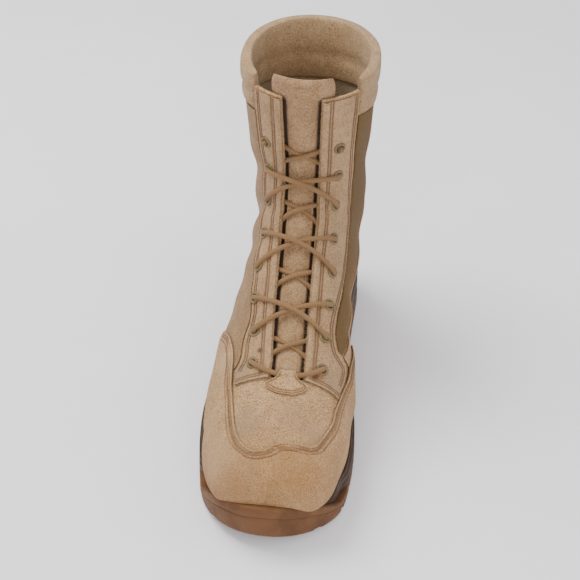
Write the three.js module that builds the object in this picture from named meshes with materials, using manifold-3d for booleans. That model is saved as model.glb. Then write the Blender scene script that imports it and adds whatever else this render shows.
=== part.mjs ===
// A laced combat boot for the right foot, standing empty on its sole.
// Millimetres, +Z up, toe towards -Y, the wearer's inner (medial) side towards +X.
// Everything follows one surface, the last: a place on it is a section, an angle round it and a lift.
import * as THREE from 'three';
import { mergeVertices } from 'three/addons/utils/BufferGeometryUtils.js';
import Module from 'manifold-3d';

const wasm = await Module();
wasm.setup();
const { clamp, lerp, smoothstep, degToRad } = THREE.MathUtils;

// The last
const LAST_LENGTH = 296;
const BALL_WIDTH = 101;
const INSTEP_HEIGHT = 124; // throat of the ankle above the ball seat
const SHAFT_HEIGHT = 214; // collar above the heel seat
const BALL_SEAT = 17; // footbed above the floor
const HEEL_SEAT = 33;
const TOE_RISE = 9;
const SEAT_SINK = 3; // how far the last's underside lies below the footbed

// The sole
const TOE_MARGIN = 6; // sole past the last
const HEEL_MARGIN = 6;
const SIDE_MARGIN = 5;
const TOE_ROUND = 50; // length over which the outline rounds off
const HEEL_ROUND = 42;
const TOE_SPRING = 11;
const HEEL_BEVEL = 2.5;
const ARCH_LIFT = 3.5;
const LUG_DEPTH = 4;
const SHEET = 4.5; // outsole above its lugs
const HEEL_LIFT = 5; // added under the heel
const RIM = 7.5; // cup wall above the footbed
const TOE_LIP = 4; // more of it round the toe
const BUMPER_WALL = 4.2;
const BUMPER_REACH = 46; // how far the toe bumper runs back
const BUMPER_DROP = 8; // midsole's rim below the bumper's
const GROOVE = 5; // width of a groove between lugs
const LUG_PITCH = 21;

// Walls and clearances
const GAP = 0.3; // between any two pieces
const WALL = 2.4; // upper with its lining
const OVERLAY = 1.4;
const QUARTER = 1.0;
const WEBBING = 0.7;
const STAY = 1.2;
const TUCK = 4; // overlays below the sole's rim
const INSOLE = 4;
const TONGUE = 5;
const COLLAR_PAD = 3;
const TAB_RISE = 3.4; // throat tab over the lace

// Lacing
const EYELET_ROWS = 8;
const EYELET_PITCH = 25;
const FIRST_EYELET = 6.5; // section
const EYELET_HOLE = 5.2;
const EYELET_WALL = 0.6;
const EYELET_FLANGE = 9.2;
const FLANGE_HEIGHT = 1;
const EYELET_SIDES = 6;
const LACE = 3.5;
const LACE_SIDES = 6;

// Sections and angles where pieces begin and end
const THROAT_START = 5.9;
const QUARTER_END = 19.05;
const STAY_FOOT = 13.65;
const STAY_HALF = 14; // degrees
const COLLAR_FOOT = 19.2;
const COLLAR_END = 21.35;
const COLLAR_MEDIAL = 55.5; // degrees
const COLLAR_LATERAL = 48.5;
const TONGUE_FOOT = 5.3;
const TONGUE_TIP = 21.9;
const TONGUE_FOOT_HALF = 22; // degrees
const TONGUE_TOP_HALF = 31;

// Shares of the sole's length
const FOREFOOT_END = 0.53;
const HEEL_BREAST = 0.69;
const LUG_SLANT = 0.22; // radians

const SOLE_LENGTH = TOE_MARGIN + LAST_LENGTH + HEEL_MARGIN;
const QUARTER_TOP = GAP + QUARTER;
const OVERLAY_TOP = GAP + OVERLAY;
const EYELET_SEAT = OVERLAY_TOP + 2 * GAP;
const LAP = QUARTER_TOP; // how much higher an overlay lies where it laps a quarter

const COLOURS = {
  suede: '#b2936c',
  facing: '#ab9170',
  webbing: '#8f7650',
  tongue: '#a3845d',
  collar: '#a68a64',
  midsole: '#8a6b4c',
  outsole: '#8b623b',
  insole: '#b3a17f',
  eyelet: '#8c8463',
  lace: '#a38458',
};

function table(names, rows) {
  return { names: names.split(' '), rows };
}

// Values of a table between its rows, on a smooth curve through them.
function sample({ names, rows }, at) {
  const last = rows.length - 1;
  const i = clamp(Math.floor(at), 0, last - 1);
  const f = at - i;
  const value = (k, c) => {
    if (k < 0) return 2 * rows[0][c] - rows[1][c];
    if (k > last) return 2 * rows[last][c] - rows[last - 1][c];
    return rows[k][c];
  };
  const found = {};
  names.forEach((name, c) => {
    const [a, b, d, e] = [value(i - 1, c), value(i, c), value(i + 1, c), value(i + 2, c)];
    found[name] = b + 0.5 * f * (d - a + f * (2 * a - 5 * b + 4 * d - e + f * (3 * (b - d) + e - a)));
  });
  return found;
}

// Sections of the last, toe to collar. Each is a slanted ring from a front point to a back point.
// front, back: along the last. instep, leg: front point's height up to the instep, then up the leg.
// rise: back point's height up the shaft. ridge, keel: sideways place of front and back point.
// medial, lateral: half widths. wide: where up the ring it is widest. crown, corner: how square it is.
const SECTIONS = table('front instep leg back rise ridge keel medial lateral wide crown corner', [
  [0.003, 0.115, 0, 0.01, 0.035, 0.02, 0.02, 0.1, 0.1, 0.5, 2, 2],
  [0.01, 0.245, 0, 0.016, 0.022, 0.02, 0.02, 0.24, 0.24, 0.45, 2.3, 2.5],
  [0.03, 0.325, 0, 0.035, 0.008, 0.045, 0.02, 0.335, 0.35, 0.4, 2.4, 2.8],
  [0.07, 0.375, 0, 0.075, 0, 0.065, 0.02, 0.396, 0.43, 0.34, 2.4, 3],
  [0.13, 0.415, 0, 0.13, 0, 0.07, 0.01, 0.436, 0.482, 0.3, 2.3, 3.1],
  [0.2, 0.455, 0, 0.198, 0, 0.07, 0, 0.478, 0.512, 0.27, 2.2, 3.2],
  [0.275, 0.51, 0, 0.272, 0, 0.06, -0.01, 0.488, 0.52, 0.25, 2.1, 3.2],
  [0.35, 0.59, 0, 0.352, 0, 0.045, -0.03, 0.502, 0.518, 0.25, 2.1, 3.2],
  [0.42, 0.69, 0, 0.44, 0, 0.03, -0.04, 0.478, 0.492, 0.27, 2.1, 3.2],
  [0.483, 0.8, 0, 0.535, 0, 0.022, -0.04, 0.445, 0.455, 0.3, 2.1, 3.2],
  [0.535, 0.9, 0, 0.635, 0, 0.015, -0.03, 0.415, 0.42, 0.33, 2.1, 3.2],
  [0.573, 1, 0, 0.74, 0, 0.01, -0.02, 0.398, 0.39, 0.36, 2.1, 3.1],
  [0.6, 1, 0.11, 0.85, 0, 0.005, -0.01, 0.392, 0.375, 0.39, 2.1, 2.9],
  [0.617, 1, 0.21, 0.955, 0.012, 0, 0, 0.392, 0.37, 0.43, 2.1, 2.6],
  [0.627, 1, 0.29, 1, 0.105, 0, 0, 0.396, 0.37, 0.47, 2.1, 2.3],
  [0.633, 1, 0.37, 1.003, 0.225, 0, 0, 0.402, 0.38, 0.5, 2.1, 2.2],
  [0.635, 1, 0.46, 0.985, 0.365, 0, 0, 0.41, 0.392, 0.5, 2.1, 2.1],
  [0.633, 1, 0.56, 0.966, 0.505, 0, 0, 0.418, 0.408, 0.5, 2.1, 2.1],
  [0.63, 1, 0.67, 0.96, 0.64, 0, 0, 0.43, 0.426, 0.5, 2.1, 2.1],
  [0.625, 1, 0.79, 0.966, 0.77, 0, 0, 0.442, 0.442, 0.5, 2.1, 2.1],
  [0.62, 1, 0.9, 0.976, 0.885, 0, 0, 0.453, 0.453, 0.5, 2.1, 2.1],
  [0.614, 1, 1, 0.986, 0.98, 0, 0, 0.46, 0.46, 0.5, 2.1, 2.1],
]);
const COLLAR_SECTION = SECTIONS.rows.length - 1;
const UPPER_TOP = 20.6;

// Half widths of the sole at even steps from toe to heel, as shares of the ball width.
const OUTLINE = table('medial lateral', [
  [0.394, 0.377],
  [0.468, 0.438],
  [0.499, 0.512],
  [0.474, 0.54],
  [0.388, 0.495],
  [0.348, 0.424],
  [0.344, 0.375],
  [0.346, 0.352],
  [0.333, 0.333],
]);

// Heights along the boot
function footbed(y) {
  const k = y / SOLE_LENGTH;
  const toe = clamp((0.22 - k) / 0.22, 0, 1) ** 1.8;
  return BALL_SEAT + (HEEL_SEAT - BALL_SEAT) * smoothstep(k, 0.36, 0.7) + TOE_RISE * toe;
}

function tread(y) {
  const k = y / SOLE_LENGTH;
  const toe = clamp((0.2 - k) / 0.2, 0, 1) ** 2;
  const heel = clamp((k - 0.955) / 0.045, 0, 1) ** 2;
  const arch = smoothstep(k, 0.53, 0.58) - smoothstep(k, 0.64, 0.69);
  return TOE_SPRING * toe + HEEL_BEVEL * heel + ARCH_LIFT * arch;
}

function outsoleTop(y) {
  const k = y / SOLE_LENGTH;
  const toe = TOE_SPRING * clamp((0.2 - k) / 0.2, 0, 1) ** 2;
  return toe + LUG_DEPTH + SHEET + HEEL_LIFT * smoothstep(k, 0.5, 0.72);
}

function rim(y) {
  return footbed(y) + RIM + TOE_LIP * (1 - smoothstep(y, 0, TOE_ROUND / 2));
}

// A point of the last's own ring; past the collar it goes straight on.
function ringPoint(section, angle) {
  if (section > COLLAR_SECTION) {
    const end = ringPoint(COLLAR_SECTION, angle);
    const before = ringPoint(COLLAR_SECTION - 1, angle);
    return end.clone().lerp(before, COLLAR_SECTION - section);
  }
  const s = sample(SECTIONS, section);
  const leg = SHAFT_HEIGHT + HEEL_SEAT - BALL_SEAT - INSTEP_HEIGHT;
  const front = new THREE.Vector2(TOE_MARGIN + s.front * LAST_LENGTH, 0);
  front.y = BALL_SEAT + s.instep * INSTEP_HEIGHT + s.leg * leg;
  const back = new THREE.Vector2(TOE_MARGIN + s.back * LAST_LENGTH, 0);
  back.y = footbed(back.x) - SEAT_SINK + s.rise * SHAFT_HEIGHT;
  const cos = Math.cos(angle);
  const sin = Math.sin(angle);
  const square = cos >= 0 ? s.crown : s.corner;
  const along = Math.abs(cos) ** (2 / square);
  const out = Math.abs(sin) ** (2 / square);
  const share = cos >= 0 ? s.wide + (1 - s.wide) * along : s.wide * (1 - along);
  const half = sin >= 0 ? s.medial : -s.lateral;
  const x = (lerp(s.keel, s.ridge, share) + half * out) * BALL_WIDTH;
  return new THREE.Vector3(x, lerp(back.x, front.x, share), lerp(back.y, front.y, share));
}

// A place on the last: section, angle round it in degrees (0 in front, + medial), lift outwards.
function place(section, degrees, lift = 0) {
  const angle = degToRad(degrees);
  const point = ringPoint(section, angle);
  if (lift === 0) return point;
  const step = 0.001;
  const along = ringPoint(section + step, angle).sub(ringPoint(Math.max(section - step, 0), angle));
  const round = ringPoint(section, angle + step).sub(ringPoint(section, angle - step));
  return point.add(round.cross(along).normalize().multiplyScalar(lift));
}

// A closed geometry from points and triangles, faces outwards.
function closedGeometry(points, index) {
  let volume = 0;
  for (let i = 0; i < index.length; i += 3) {
    const [a, b, c] = [points[index[i]], points[index[i + 1]], points[index[i + 2]]];
    volume += a.dot(new THREE.Vector3().crossVectors(b, c));
  }
  if (volume < 0) index.reverse();
  return new THREE.BufferGeometry().setFromPoints(points).setIndex(index);
}

function solidOf(geometry) {
  const bare = geometry.clone();
  bare.deleteAttribute('normal');
  bare.deleteAttribute('uv');
  const merged = mergeVertices(bare, 1e-4);
  const triVerts = [];
  for (let i = 0; i < merged.index.count; i += 3) {
    const [a, b, c] = [0, 1, 2].map((k) => merged.index.getX(i + k));
    if (a !== b && b !== c && c !== a) triVerts.push(a, b, c);
  }
  const vertProperties = new Float32Array(merged.attributes.position.array);
  return new wasm.Manifold(
    new wasm.Mesh({ numProp: 3, vertProperties, triVerts: new Uint32Array(triVerts) }),
  );
}

// Rings of as many points each, skinned, and closed at both ends by strips across.
function skinned(rings) {
  const count = rings[0].length;
  const index = [];
  for (let k = 0; k + 1 < rings.length; k += 1) {
    for (let i = 0; i < count; i += 1) {
      const [a, b] = [k * count + i, k * count + ((i + 1) % count)];
      index.push(a, b, b + count, a, b + count, a + count);
    }
  }
  const end = (rings.length - 1) * count;
  for (let i = 0; i < count / 2; i += 1) {
    const [a, b, c, d] = [i, i + 1, (count - i) % count, count - i - 1];
    if (b !== d) index.push(a, d, b, end + a, end + b, end + d);
    if (a !== c) index.push(a, c, d, end + a, end + d, end + c);
  }
  return solidOf(closedGeometry(rings.flat(), index));
}

// Angles round a section: even over the top, closer where the side turns under.
const HALF_TURN = [];
for (let degrees = 0; degrees <= 90; degrees += 15) HALF_TURN.push(degrees);
for (const under of [5, 22, 42, 65]) HALF_TURN.push(90 + under);
const TURN = [...HALF_TURN, 180, ...HALF_TURN.slice(1).reverse().map((degrees) => 360 - degrees)];

// Sections lie closer where the last curves more.
function sectionStep(s) {
  if (s < 1) return 0.5;
  if (s < 4) return 0.75;
  return s < 14 ? 1 : 1.65;
}

// The last as a solid, grown by a lift that may change from place to place. All of them share their
// sections and angles, so that one grown form lies evenly round another.
function lastSolid(from, to, liftAt) {
  const steps = [];
  for (let s = from; s < to - 0.2; s += sectionStep(s)) steps.push(s);
  steps.push(to);
  return skinned(steps.map((s) => TURN.map((degrees) => place(s, degrees, liftAt(s, degrees)))));
}

// Outline of the sole, toe first, then down the medial side and back up the lateral one.
const OUTLINE_STEPS = 24;
function outlinePoint(step) {
  const turn = (Math.PI * step) / OUTLINE_STEPS;
  const y = (SOLE_LENGTH * (1 - Math.cos(turn))) / 2;
  const width = sample(OUTLINE, ((OUTLINE.rows.length - 1) * y) / SOLE_LENGTH);
  const toe = clamp(1 - y / TOE_ROUND, 0, 1);
  const heel = clamp(1 - (SOLE_LENGTH - y) / HEEL_ROUND, 0, 1);
  const round = (1 - toe ** 2.2) ** (1 / 2.2) * (1 - heel ** 2.3) ** (1 / 2.3);
  const middle = ((width.medial - width.lateral) * BALL_WIDTH) / 2;
  const half = ((width.medial + width.lateral) * BALL_WIDTH) / 2 + SIDE_MARGIN;
  return new THREE.Vector2(middle + Math.sign(Math.sin(turn)) * half * round, y);
}

// One level of the sole: the outline moved in, each point at its own height.
function soleRing(inset, height) {
  const ring = [];
  for (let step = 0; step < 2 * OUTLINE_STEPS; step += 1) {
    const point = outlinePoint(step);
    const way = outlinePoint(step + 0.01).sub(outlinePoint(step - 0.01)).normalize();
    const y = point.y;
    point.add(new THREE.Vector2(-way.y, way.x).multiplyScalar(inset(y)));
    ring.push(new THREE.Vector3(point.x, point.y, height(y)));
  }
  return ring;
}

// Everything under a height that follows the sole, for cutting.
function below(height) {
  const outwards = () => -3 * SIDE_MARGIN;
  return skinned([soleRing(outwards, () => -HEEL_SEAT), soleRing(outwards, height)]);
}

// A patch of even thickness on the last, between two edges. Each edge gives [section, degrees].
function patch(edgeA, edgeB, rows, columns, lifts) {
  const points = [];
  for (const side of [0, 1]) {
    for (let i = 0; i <= rows; i += 1) {
      for (let j = 0; j <= columns; j += 1) {
        const [a, b] = [edgeA(i / rows), edgeB(i / rows)];
        const across = j / columns;
        const lift = lifts(i / rows, across)[side];
        points.push(place(lerp(a[0], b[0], across), lerp(a[1], b[1], across), lift));
      }
    }
  }
  const row = columns + 1;
  const layer = (rows + 1) * row;
  const index = [];
  const quad = (a, b, c, d) => index.push(a, b, c, a, c, d);
  for (let i = 0; i < rows; i += 1) {
    for (let j = 0; j < columns; j += 1) {
      const a = i * row + j;
      quad(a, a + 1, a + row + 1, a + row);
      quad(layer + a, layer + a + row, layer + a + row + 1, layer + a + 1);
    }
    const [first, far] = [i * row, i * row + columns];
    quad(first, first + row, layer + first + row, layer + first);
    quad(far, layer + far, layer + far + row, far + row);
  }
  for (let j = 0; j < columns; j += 1) {
    const [near, far] = [j, rows * row + j];
    quad(near, layer + near, layer + near + 1, near + 1);
    quad(far, far + 1, layer + far + 1, layer + far);
  }
  return solidOf(closedGeometry(points, index));
}

// An edge read from two columns of a table, with a side's sign on its angle.
function edge(rows, section, degrees, side = 1) {
  return (t) => {
    const found = sample(rows, t * (rows.rows.length - 1));
    return [found[section], side * found[degrees]];
  };
}

const even = (under, over) => () => [under, over];

// A region of the last between two edges, deep enough to cut any overlay out of a grown last.
function region(edgeA, edgeB, rows, columns, depth = WALL / 2) {
  return patch(edgeA, edgeB, rows, columns, even(-depth, 3 * WALL));
}

// An overlay: what lies in the region between two grown forms of the last.
function overlay(area, under, over) {
  const grown = (lift) => lastSolid(0, UPPER_TOP, typeof lift === 'function' ? lift : () => lift);
  return area.intersect(grown(over)).subtract(grown(under));
}

// Upper: one hollow shell, open at the collar, down the throat and over the footbed.
// Half the throat's opening and the facings' outer edges, in degrees.
const THROAT = table('at open medial lateral', [
  [5.93, 13, 47, 41.5],
  [6.4, 12.5, 50.5, 41.5],
  [6.75, 12.5, 53, 37],
  [7.12, 13, 53, 36.5],
  [7.34, 13, 41.5, 36.5],
  [7.8, 13.5, 38.5, 35],
  [8.3, 14, 40, 34],
  [9, 15, 46, 38],
  [10, 16.5, 54, 42],
  [11, 18, 58, 44.5],
  [12, 19, 58, 46],
  [14, 18, 56, 46.5],
  [16, 17.5, 55, 46.5],
  [18, 17, 54, 46],
  [UPPER_TOP + 0.3, 17, 53, 45],
]);

function makeUpper() {
  const outside = lastSolid(0, UPPER_TOP, () => 0);
  const inside = lastSolid(0.7, UPPER_TOP + 0.5, () => -WALL);
  const slot = patch(
    (t) => [lerp(THROAT_START, UPPER_TOP + 0.5, t), -throatHalf(t)],
    (t) => [lerp(THROAT_START, UPPER_TOP + 0.5, t), throatHalf(t)],
    20, 2, even(-2 * WALL, WALL),
  );
  return outside.subtract(inside).subtract(slot).subtract(below((y) => footbed(y) + GAP));
}

function throatHalf(t) {
  const at = lerp(THROAT_START, UPPER_TOP + 0.5, t);
  const rows = THROAT.rows;
  const next = clamp(rows.findIndex((row) => row[0] > at), 1, rows.length - 1);
  const upper = at > UPPER_TOP ? rows.length - 1 : next;
  const [a, b] = [rows[upper - 1], rows[upper]];
  return lerp(a[1], b[1], clamp((at - a[0]) / (b[0] - a[0]), 0, 1));
}

// Facings that carry the eyelets
function makeFacing(side, outer) {
  const area = region(edge(THROAT, 'at', 'open', side), edge(THROAT, 'at', outer, side), 22, 1);
  return overlay(area, GAP, OVERLAY_TOP);
}

// Toe guard: its upper edge from the lateral wing round the toe to the medial wing, and its foot.
const GUARD = table('edge turn foot footTurn', [
  [8.32, -67, 9, -128],
  [7.79, -53, 8.5, -128],
  [7.33, -46.5, 7.9, -128],
  [6.88, -44, 7.3, -128],
  [6.42, -44, 6.7, -128],
  [5.79, -43, 6, -128],
  [5.1, -40, 5.2, -128],
  [4.51, -37, 4.4, -128],
  [3.94, -33, 3.4, -128],
  [3.5, -26, 2.2, -128],
  [3.22, -17, 1.2, -120],
  [3.27, -8, 0.3, -90],
  [3.42, -4, 0, -45],
  [3.59, 0, 0, 0],
  [3.66, 8, 0, 45],
  [3.67, 16, 0.3, 90],
  [3.68, 24, 1.2, 120],
  [3.85, 31, 2.4, 128],
  [4.34, 37, 3.7, 128],
  [4.93, 42, 4.8, 128],
  [5.45, 44.5, 5.6, 128],
  [6.1, 50, 6.4, 128],
  [6.7, 55.5, 7, 128],
  [7.35, 60, 7.7, 128],
  [8, 69, 8.4, 128],
  [8.6, 77, 9, 128],
]);
const LATERAL_LAP = 6.1; // sections from which the guard lies on the quarters
const MEDIAL_LAP = 7.1;
const LAP_RAMP = 0.6;

function lapLift(section, degrees) {
  const start = degrees > 180 ? LATERAL_LAP : MEDIAL_LAP;
  return LAP * smoothstep(section, start - LAP_RAMP, start - 0.1);
}

function makeToeGuard() {
  const area = region(edge(GUARD, 'edge', 'turn'), edge(GUARD, 'foot', 'footTurn'), 40, 4);
  const under = (s, degrees) => GAP + lapLift(s, degrees);
  const over = (s, degrees) => OVERLAY_TOP + lapLift(s, degrees);
  return overlay(area, under, over).subtract(below((y) => rim(y) - TUCK));
}

// Quarters: front edge and the section it meets at the back seam.
const MEDIAL_QUARTER = table('front turn back', [
  [7.55, 122, 12.6],
  [7.5, 100, 12.9],
  [7.46, 78, 13.15],
  [7.43, 60, 13.35],
  [7.45, 52, 13.5],
  [7.9, 59, 13.8],
  [8.4, 66, 14.1],
  [8.8, 71, 14.4],
  [9.3, 79, 14.8],
  [9.75, 84, 15.1],
  [10.3, 88, 15.4],
  [11.1, 93, 15.8],
  [12, 95, 16.2],
  [13.5, 95, 16.8],
  [15.5, 94, 17.5],
  [17.5, 93, 18.3],
  [19.05, 92, 19.05],
]);
const LATERAL_QUARTER = table('front turn back', [
  [6.75, 118, 12.6],
  [6.65, 95, 12.9],
  [6.57, 72, 13.1],
  [6.52, 54, 13.3],
  [6.55, 43.5, 13.45],
  [6.85, 38.6, 13.6],
  [7.5, 38, 13.8],
  [8.05, 35.6, 14],
  [8.5, 36.4, 14.25],
  [8.95, 39.2, 14.5],
  [10, 43.5, 15],
  [11, 46, 15.4],
  [12, 47.5, 15.9],
  [14, 48, 16.7],
  [17, 48, 18],
  [19.05, 47.5, 19.05],
]);
const BACK_SEAM = 179.4;

function makeQuarter(rows, side) {
  const back = (t) => [sample(rows, t * (rows.rows.length - 1)).back, side * BACK_SEAM];
  const area = region(edge(rows, 'front', 'turn', side), back, 22, 7);
  return overlay(area, GAP, QUARTER_TOP).subtract(below((y) => rim(y) - TUCK));
}

// Ribbed webbing in the wedge between the medial facing and its quarter
const VENT = table('at front rear', [
  [7.47, 44, 49.5],
  [7.9, 41, 56.5],
  [8.4, 43.5, 63.5],
  [8.8, 46.5, 69],
  [9.3, 51, 75.5],
  [9.75, 54.5, 80.5],
  [10.3, 57.5, 85],
  [11.1, 60, 89.5],
  [12, 60, 91.5],
  [14, 58, 93],
  [16, 57, 92],
  [19.05, 56, 90.5],
]);

function makeVent() {
  return overlay(region(edge(VENT, 'at', 'front'), edge(VENT, 'at', 'rear'), 14, 2), GAP, GAP + WEBBING);
}

// Throat tab: half its width on the way from its free end down over the vamp
const TAB = table('at half', [
  [6.24, 6.2],
  [6.12, 6],
  [6, 7],
  [5.9, 10.5],
  [5.82, 15],
  [5.7, 15.5],
  [5.58, 13],
  [5.47, 9],
  [5.4, 4],
]);

function makeThroatTab() {
  const lifts = (t) => {
    const rise = TAB_RISE * smoothstep(sample(TAB, t * (TAB.rows.length - 1)).at, 5.84, 6.02);
    return [GAP + rise, OVERLAY_TOP + rise];
  };
  return patch(edge(TAB, 'at', 'half', -1), edge(TAB, 'at', 'half'), 12, 4, lifts)
    .subtract(lastSolid(4, 8, () => GAP));
}

function makeBackStay() {
  const at = (t) => lerp(STAY_FOOT, QUARTER_END, t);
  const under = QUARTER_TOP + GAP;
  const area = region((t) => [at(t), 180 - STAY_HALF], (t) => [at(t), 180 + STAY_HALF], 10, 2);
  return overlay(area, under, under + STAY);
}

// Padded collar over the upper's top edge, from facing to facing round the back
function makeCollar() {
  const from = COLLAR_MEDIAL;
  const to = 360 - COLLAR_LATERAL;
  const turn = (t) => lerp(from, to, t);
  const band = (t, u) => {
    const puff = COLLAR_PAD * Math.sqrt(Math.max(1 - (2 * u - 1) ** 2, 0.06));
    return [-WALL - GAP - puff, GAP + puff];
  };
  const pad = patch((t) => [COLLAR_FOOT, turn(t)], (t) => [COLLAR_END, turn(t)], 20, 4, band);
  const slot = (t) => lerp(from - 4, to + 4, t);
  const slotFoot = (t) => [COLLAR_FOOT - 1, slot(t)];
  const slotTop = (t) => [UPPER_TOP + 0.05, slot(t)];
  const edgeSlot = region(slotFoot, slotTop, 20, 1, 2 * WALL);
  const grown = (lift) => lastSolid(14, 22, () => lift);
  return pad.subtract(edgeSlot.intersect(grown(GAP)).subtract(grown(-WALL - GAP)));
}

// Tongue inside the throat, its free end above the collar
function makeTongue() {
  const at = (t) => lerp(TONGUE_FOOT, TONGUE_TIP, t);
  const widening = (t) => lerp(TONGUE_FOOT_HALF, TONGUE_TOP_HALF, smoothstep(t, 0, 0.5));
  const half = (t) => widening(t) * Math.sqrt(1 - smoothstep(t, 0.93, 1.08) ** 2);
  const top = -WALL / 2;
  const lifts = (t, u) => {
    const edgeThin = 1 - 0.55 * Math.abs(2 * u - 1) ** 3;
    return [-WALL - GAP - TONGUE * edgeThin, top];
  };
  return patch((t) => [at(t), -half(t)], (t) => [at(t), half(t)], 24, 4, lifts)
    .intersect(lastSolid(0.7, 22.5, () => -WALL - GAP));
}

function makeInsole() {
  const foot = lastSolid(0.7, 13.5, () => -WALL - GAP);
  return foot.intersect(below((y) => footbed(y) + GAP + INSOLE)).subtract(below((y) => footbed(y) + GAP));
}

// Cup of the sole that takes the upper with the overlays tucked in
function cupLift(section, degrees) {
  const behind = smoothstep(section, 9.3, 10);
  const cover = lerp(OVERLAY_TOP, QUARTER_TOP, behind);
  return cover + lapLift(section + 0.3, degrees) * (1 - behind) + GAP;
}

function cup() {
  return lastSolid(0, 16, cupLift).subtract(below(footbed));
}

// Side of the midsole: levels from its underside to its rim, and how far each lies in
const MIDSOLE_SIDE = table('up inset', [
  [0, 1.4],
  [0.1, 0.5],
  [0.42, 0.4],
  [0.46, 1.3],
  [0.54, 1.3],
  [0.58, 0.6],
  [0.86, 1],
  [1, 2.2],
]);

function makeMidsole() {
  const underBumper = (y) => 1 - smoothstep(y, BUMPER_REACH, BUMPER_REACH + 14);
  const top = (y) => rim(y) - BUMPER_DROP * underBumper(y + 14);
  const rings = MIDSOLE_SIDE.rows.map(([up, inset]) => soleRing(
    (y) => lerp(inset, BUMPER_WALL + GAP, underBumper(y)),
    (y) => lerp(outsoleTop(y) + GAP, top(y), up),
  ));
  return skinned(rings).subtract(cup());
}

// Outsole: a sheet with the toe bumper, cut into lugs from below
function bumperTop(y) {
  const rise = rim(y) - outsoleTop(y);
  return outsoleTop(y) + rise * (1 - smoothstep(y, 5, BUMPER_REACH));
}

function block(width, length, height, x, y, z, turn = 0) {
  const box = new THREE.BoxGeometry(width, length, height).rotateZ(turn).translate(x, y, z);
  return solidOf(box);
}

function makeOutsole() {
  const hair = 0.02;
  const share = (k, inset) => soleRing(() => inset, (y) => lerp(tread(y), bumperTop(y), k));
  let sole = skinned([share(0, 1), share(0.12, 0), share(0.9, 0), share(1, 0.5)]);
  sole = sole.subtract(skinned([
    soleRing(() => BUMPER_WALL, (y) => outsoleTop(y) + hair),
    soleRing(() => BUMPER_WALL, () => 2 * HEEL_SEAT),
  ]));
  sole = sole.subtract(cup());
  const forefoot = FOREFOOT_END * SOLE_LENGTH;
  const breast = HEEL_BREAST * SOLE_LENGTH;
  const cut = (y, slant) => {
    for (const side of [-1, 1]) {
      const across = side * (BALL_WIDTH / 2 + GROOVE);
      const groove = block(BALL_WIDTH, GROOVE, 2 * LUG_DEPTH, across, y, tread(y), side * slant);
      sole = sole.subtract(groove);
    }
  };
  for (let y = LUG_PITCH; y < forefoot - GROOVE; y += LUG_PITCH) cut(y, LUG_SLANT);
  for (let y = breast + LUG_PITCH; y < SOLE_LENGTH - LUG_PITCH; y += LUG_PITCH) cut(y, 0);
  const waist = (forefoot + breast) / 2;
  sole = sole.subtract(block(2 * BALL_WIDTH, breast - forefoot, 2 * LUG_DEPTH, 0, waist, 0));
  return sole;
}

// Eyelet line: its angle on the way up, on both sides
const EYELET_LINE = table('at turn', [
  [6.5, 27],
  [7.6, 28],
  [8.8, 33],
  [10, 36],
  [12, 37],
  [15, 36],
  [18, 35],
  [21, 34],
]);

function eyeletTurn(section) {
  const rows = EYELET_LINE.rows;
  const next = clamp(rows.findIndex((row) => row[0] > section), 1, rows.length - 1);
  const [a, b] = [rows[next - 1], rows[next]];
  return lerp(a[1], b[1], clamp((section - a[0]) / (b[0] - a[0]), 0, 1));
}

function eyeletSections() {
  const found = [FIRST_EYELET];
  let last = place(FIRST_EYELET, eyeletTurn(FIRST_EYELET));
  let way = 0;
  for (let s = FIRST_EYELET; found.length < EYELET_ROWS && s < UPPER_TOP; s += 0.02) {
    const next = place(s, eyeletTurn(s));
    way += next.distanceTo(last);
    last = next;
    if (way >= EYELET_PITCH) {
      found.push(s);
      way -= EYELET_PITCH;
    }
  }
  return found;
}

// Stands a geometry made along +Y on the last, with its origin on the surface.
function stood(geometry, section, degrees) {
  const foot = place(section, degrees);
  const up = place(section, degrees, 1).sub(foot);
  const turn = new THREE.Quaternion().setFromUnitVectors(new THREE.Vector3(0, 1, 0), up.normalize());
  return solidOf(geometry.applyQuaternion(turn).translate(foot.x, foot.y, foot.z));
}

function makeEyelet(section, degrees) {
  const bore = EYELET_HOLE / 2;
  const barrel = bore + EYELET_WALL;
  const top = EYELET_SEAT + FLANGE_HEIGHT;
  const profile = [
    [bore, -WALL], [barrel, -WALL], [barrel, EYELET_SEAT], [EYELET_FLANGE / 2, EYELET_SEAT],
    [EYELET_FLANGE / 2 - 0.5, top], [bore, top], [bore, -WALL],
  ];
  const ring = new THREE.LatheGeometry(profile.map(([r, z]) => new THREE.Vector2(r, z)), EYELET_SIDES);
  return stood(ring, section, degrees);
}

function eyeletHole(section, degrees) {
  const radius = EYELET_HOLE / 2 + EYELET_WALL + GAP;
  const hole = new THREE.CylinderGeometry(radius, radius, 6 * WALL, EYELET_SIDES);
  return stood(hole, section, degrees);
}

// A length of lace through places on the last
function strand(stops, steps) {
  const curve = new THREE.CatmullRomCurve3(stops.map(([s, degrees, lift]) => place(s, degrees, lift)));
  const section = new THREE.Shape();
  section.absarc(0, 0, LACE / 2, 0, 2 * Math.PI);
  const settings = { steps, curveSegments: LACE_SIDES / 2, extrudePath: curve };
  return solidOf(new THREE.ExtrudeGeometry(section, settings));
}

const LACE_OVER = EYELET_SEAT + FLANGE_HEIGHT + 2 * GAP + LACE / 2;
const LACE_UNDER = -WALL + LACE / 2;

// Where the lace lies across the throat, from a lateral place to a medial one
function crossing(low, high, over, lift) {
  const turns = over ? eyeletTurn : () => 10;
  const across = (from, to, side) => {
    const stops = [];
    for (let k = 0; k <= 6; k += 1) {
      const t = k / 6;
      const at = lerp(from, to, t);
      stops.push([at, side * lerp(-turns(from), turns(to), t), lift]);
    }
    return strand(stops, over ? 6 : 3);
  };
  return across(low, high, 1).add(across(low, high, -1));
}

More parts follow.
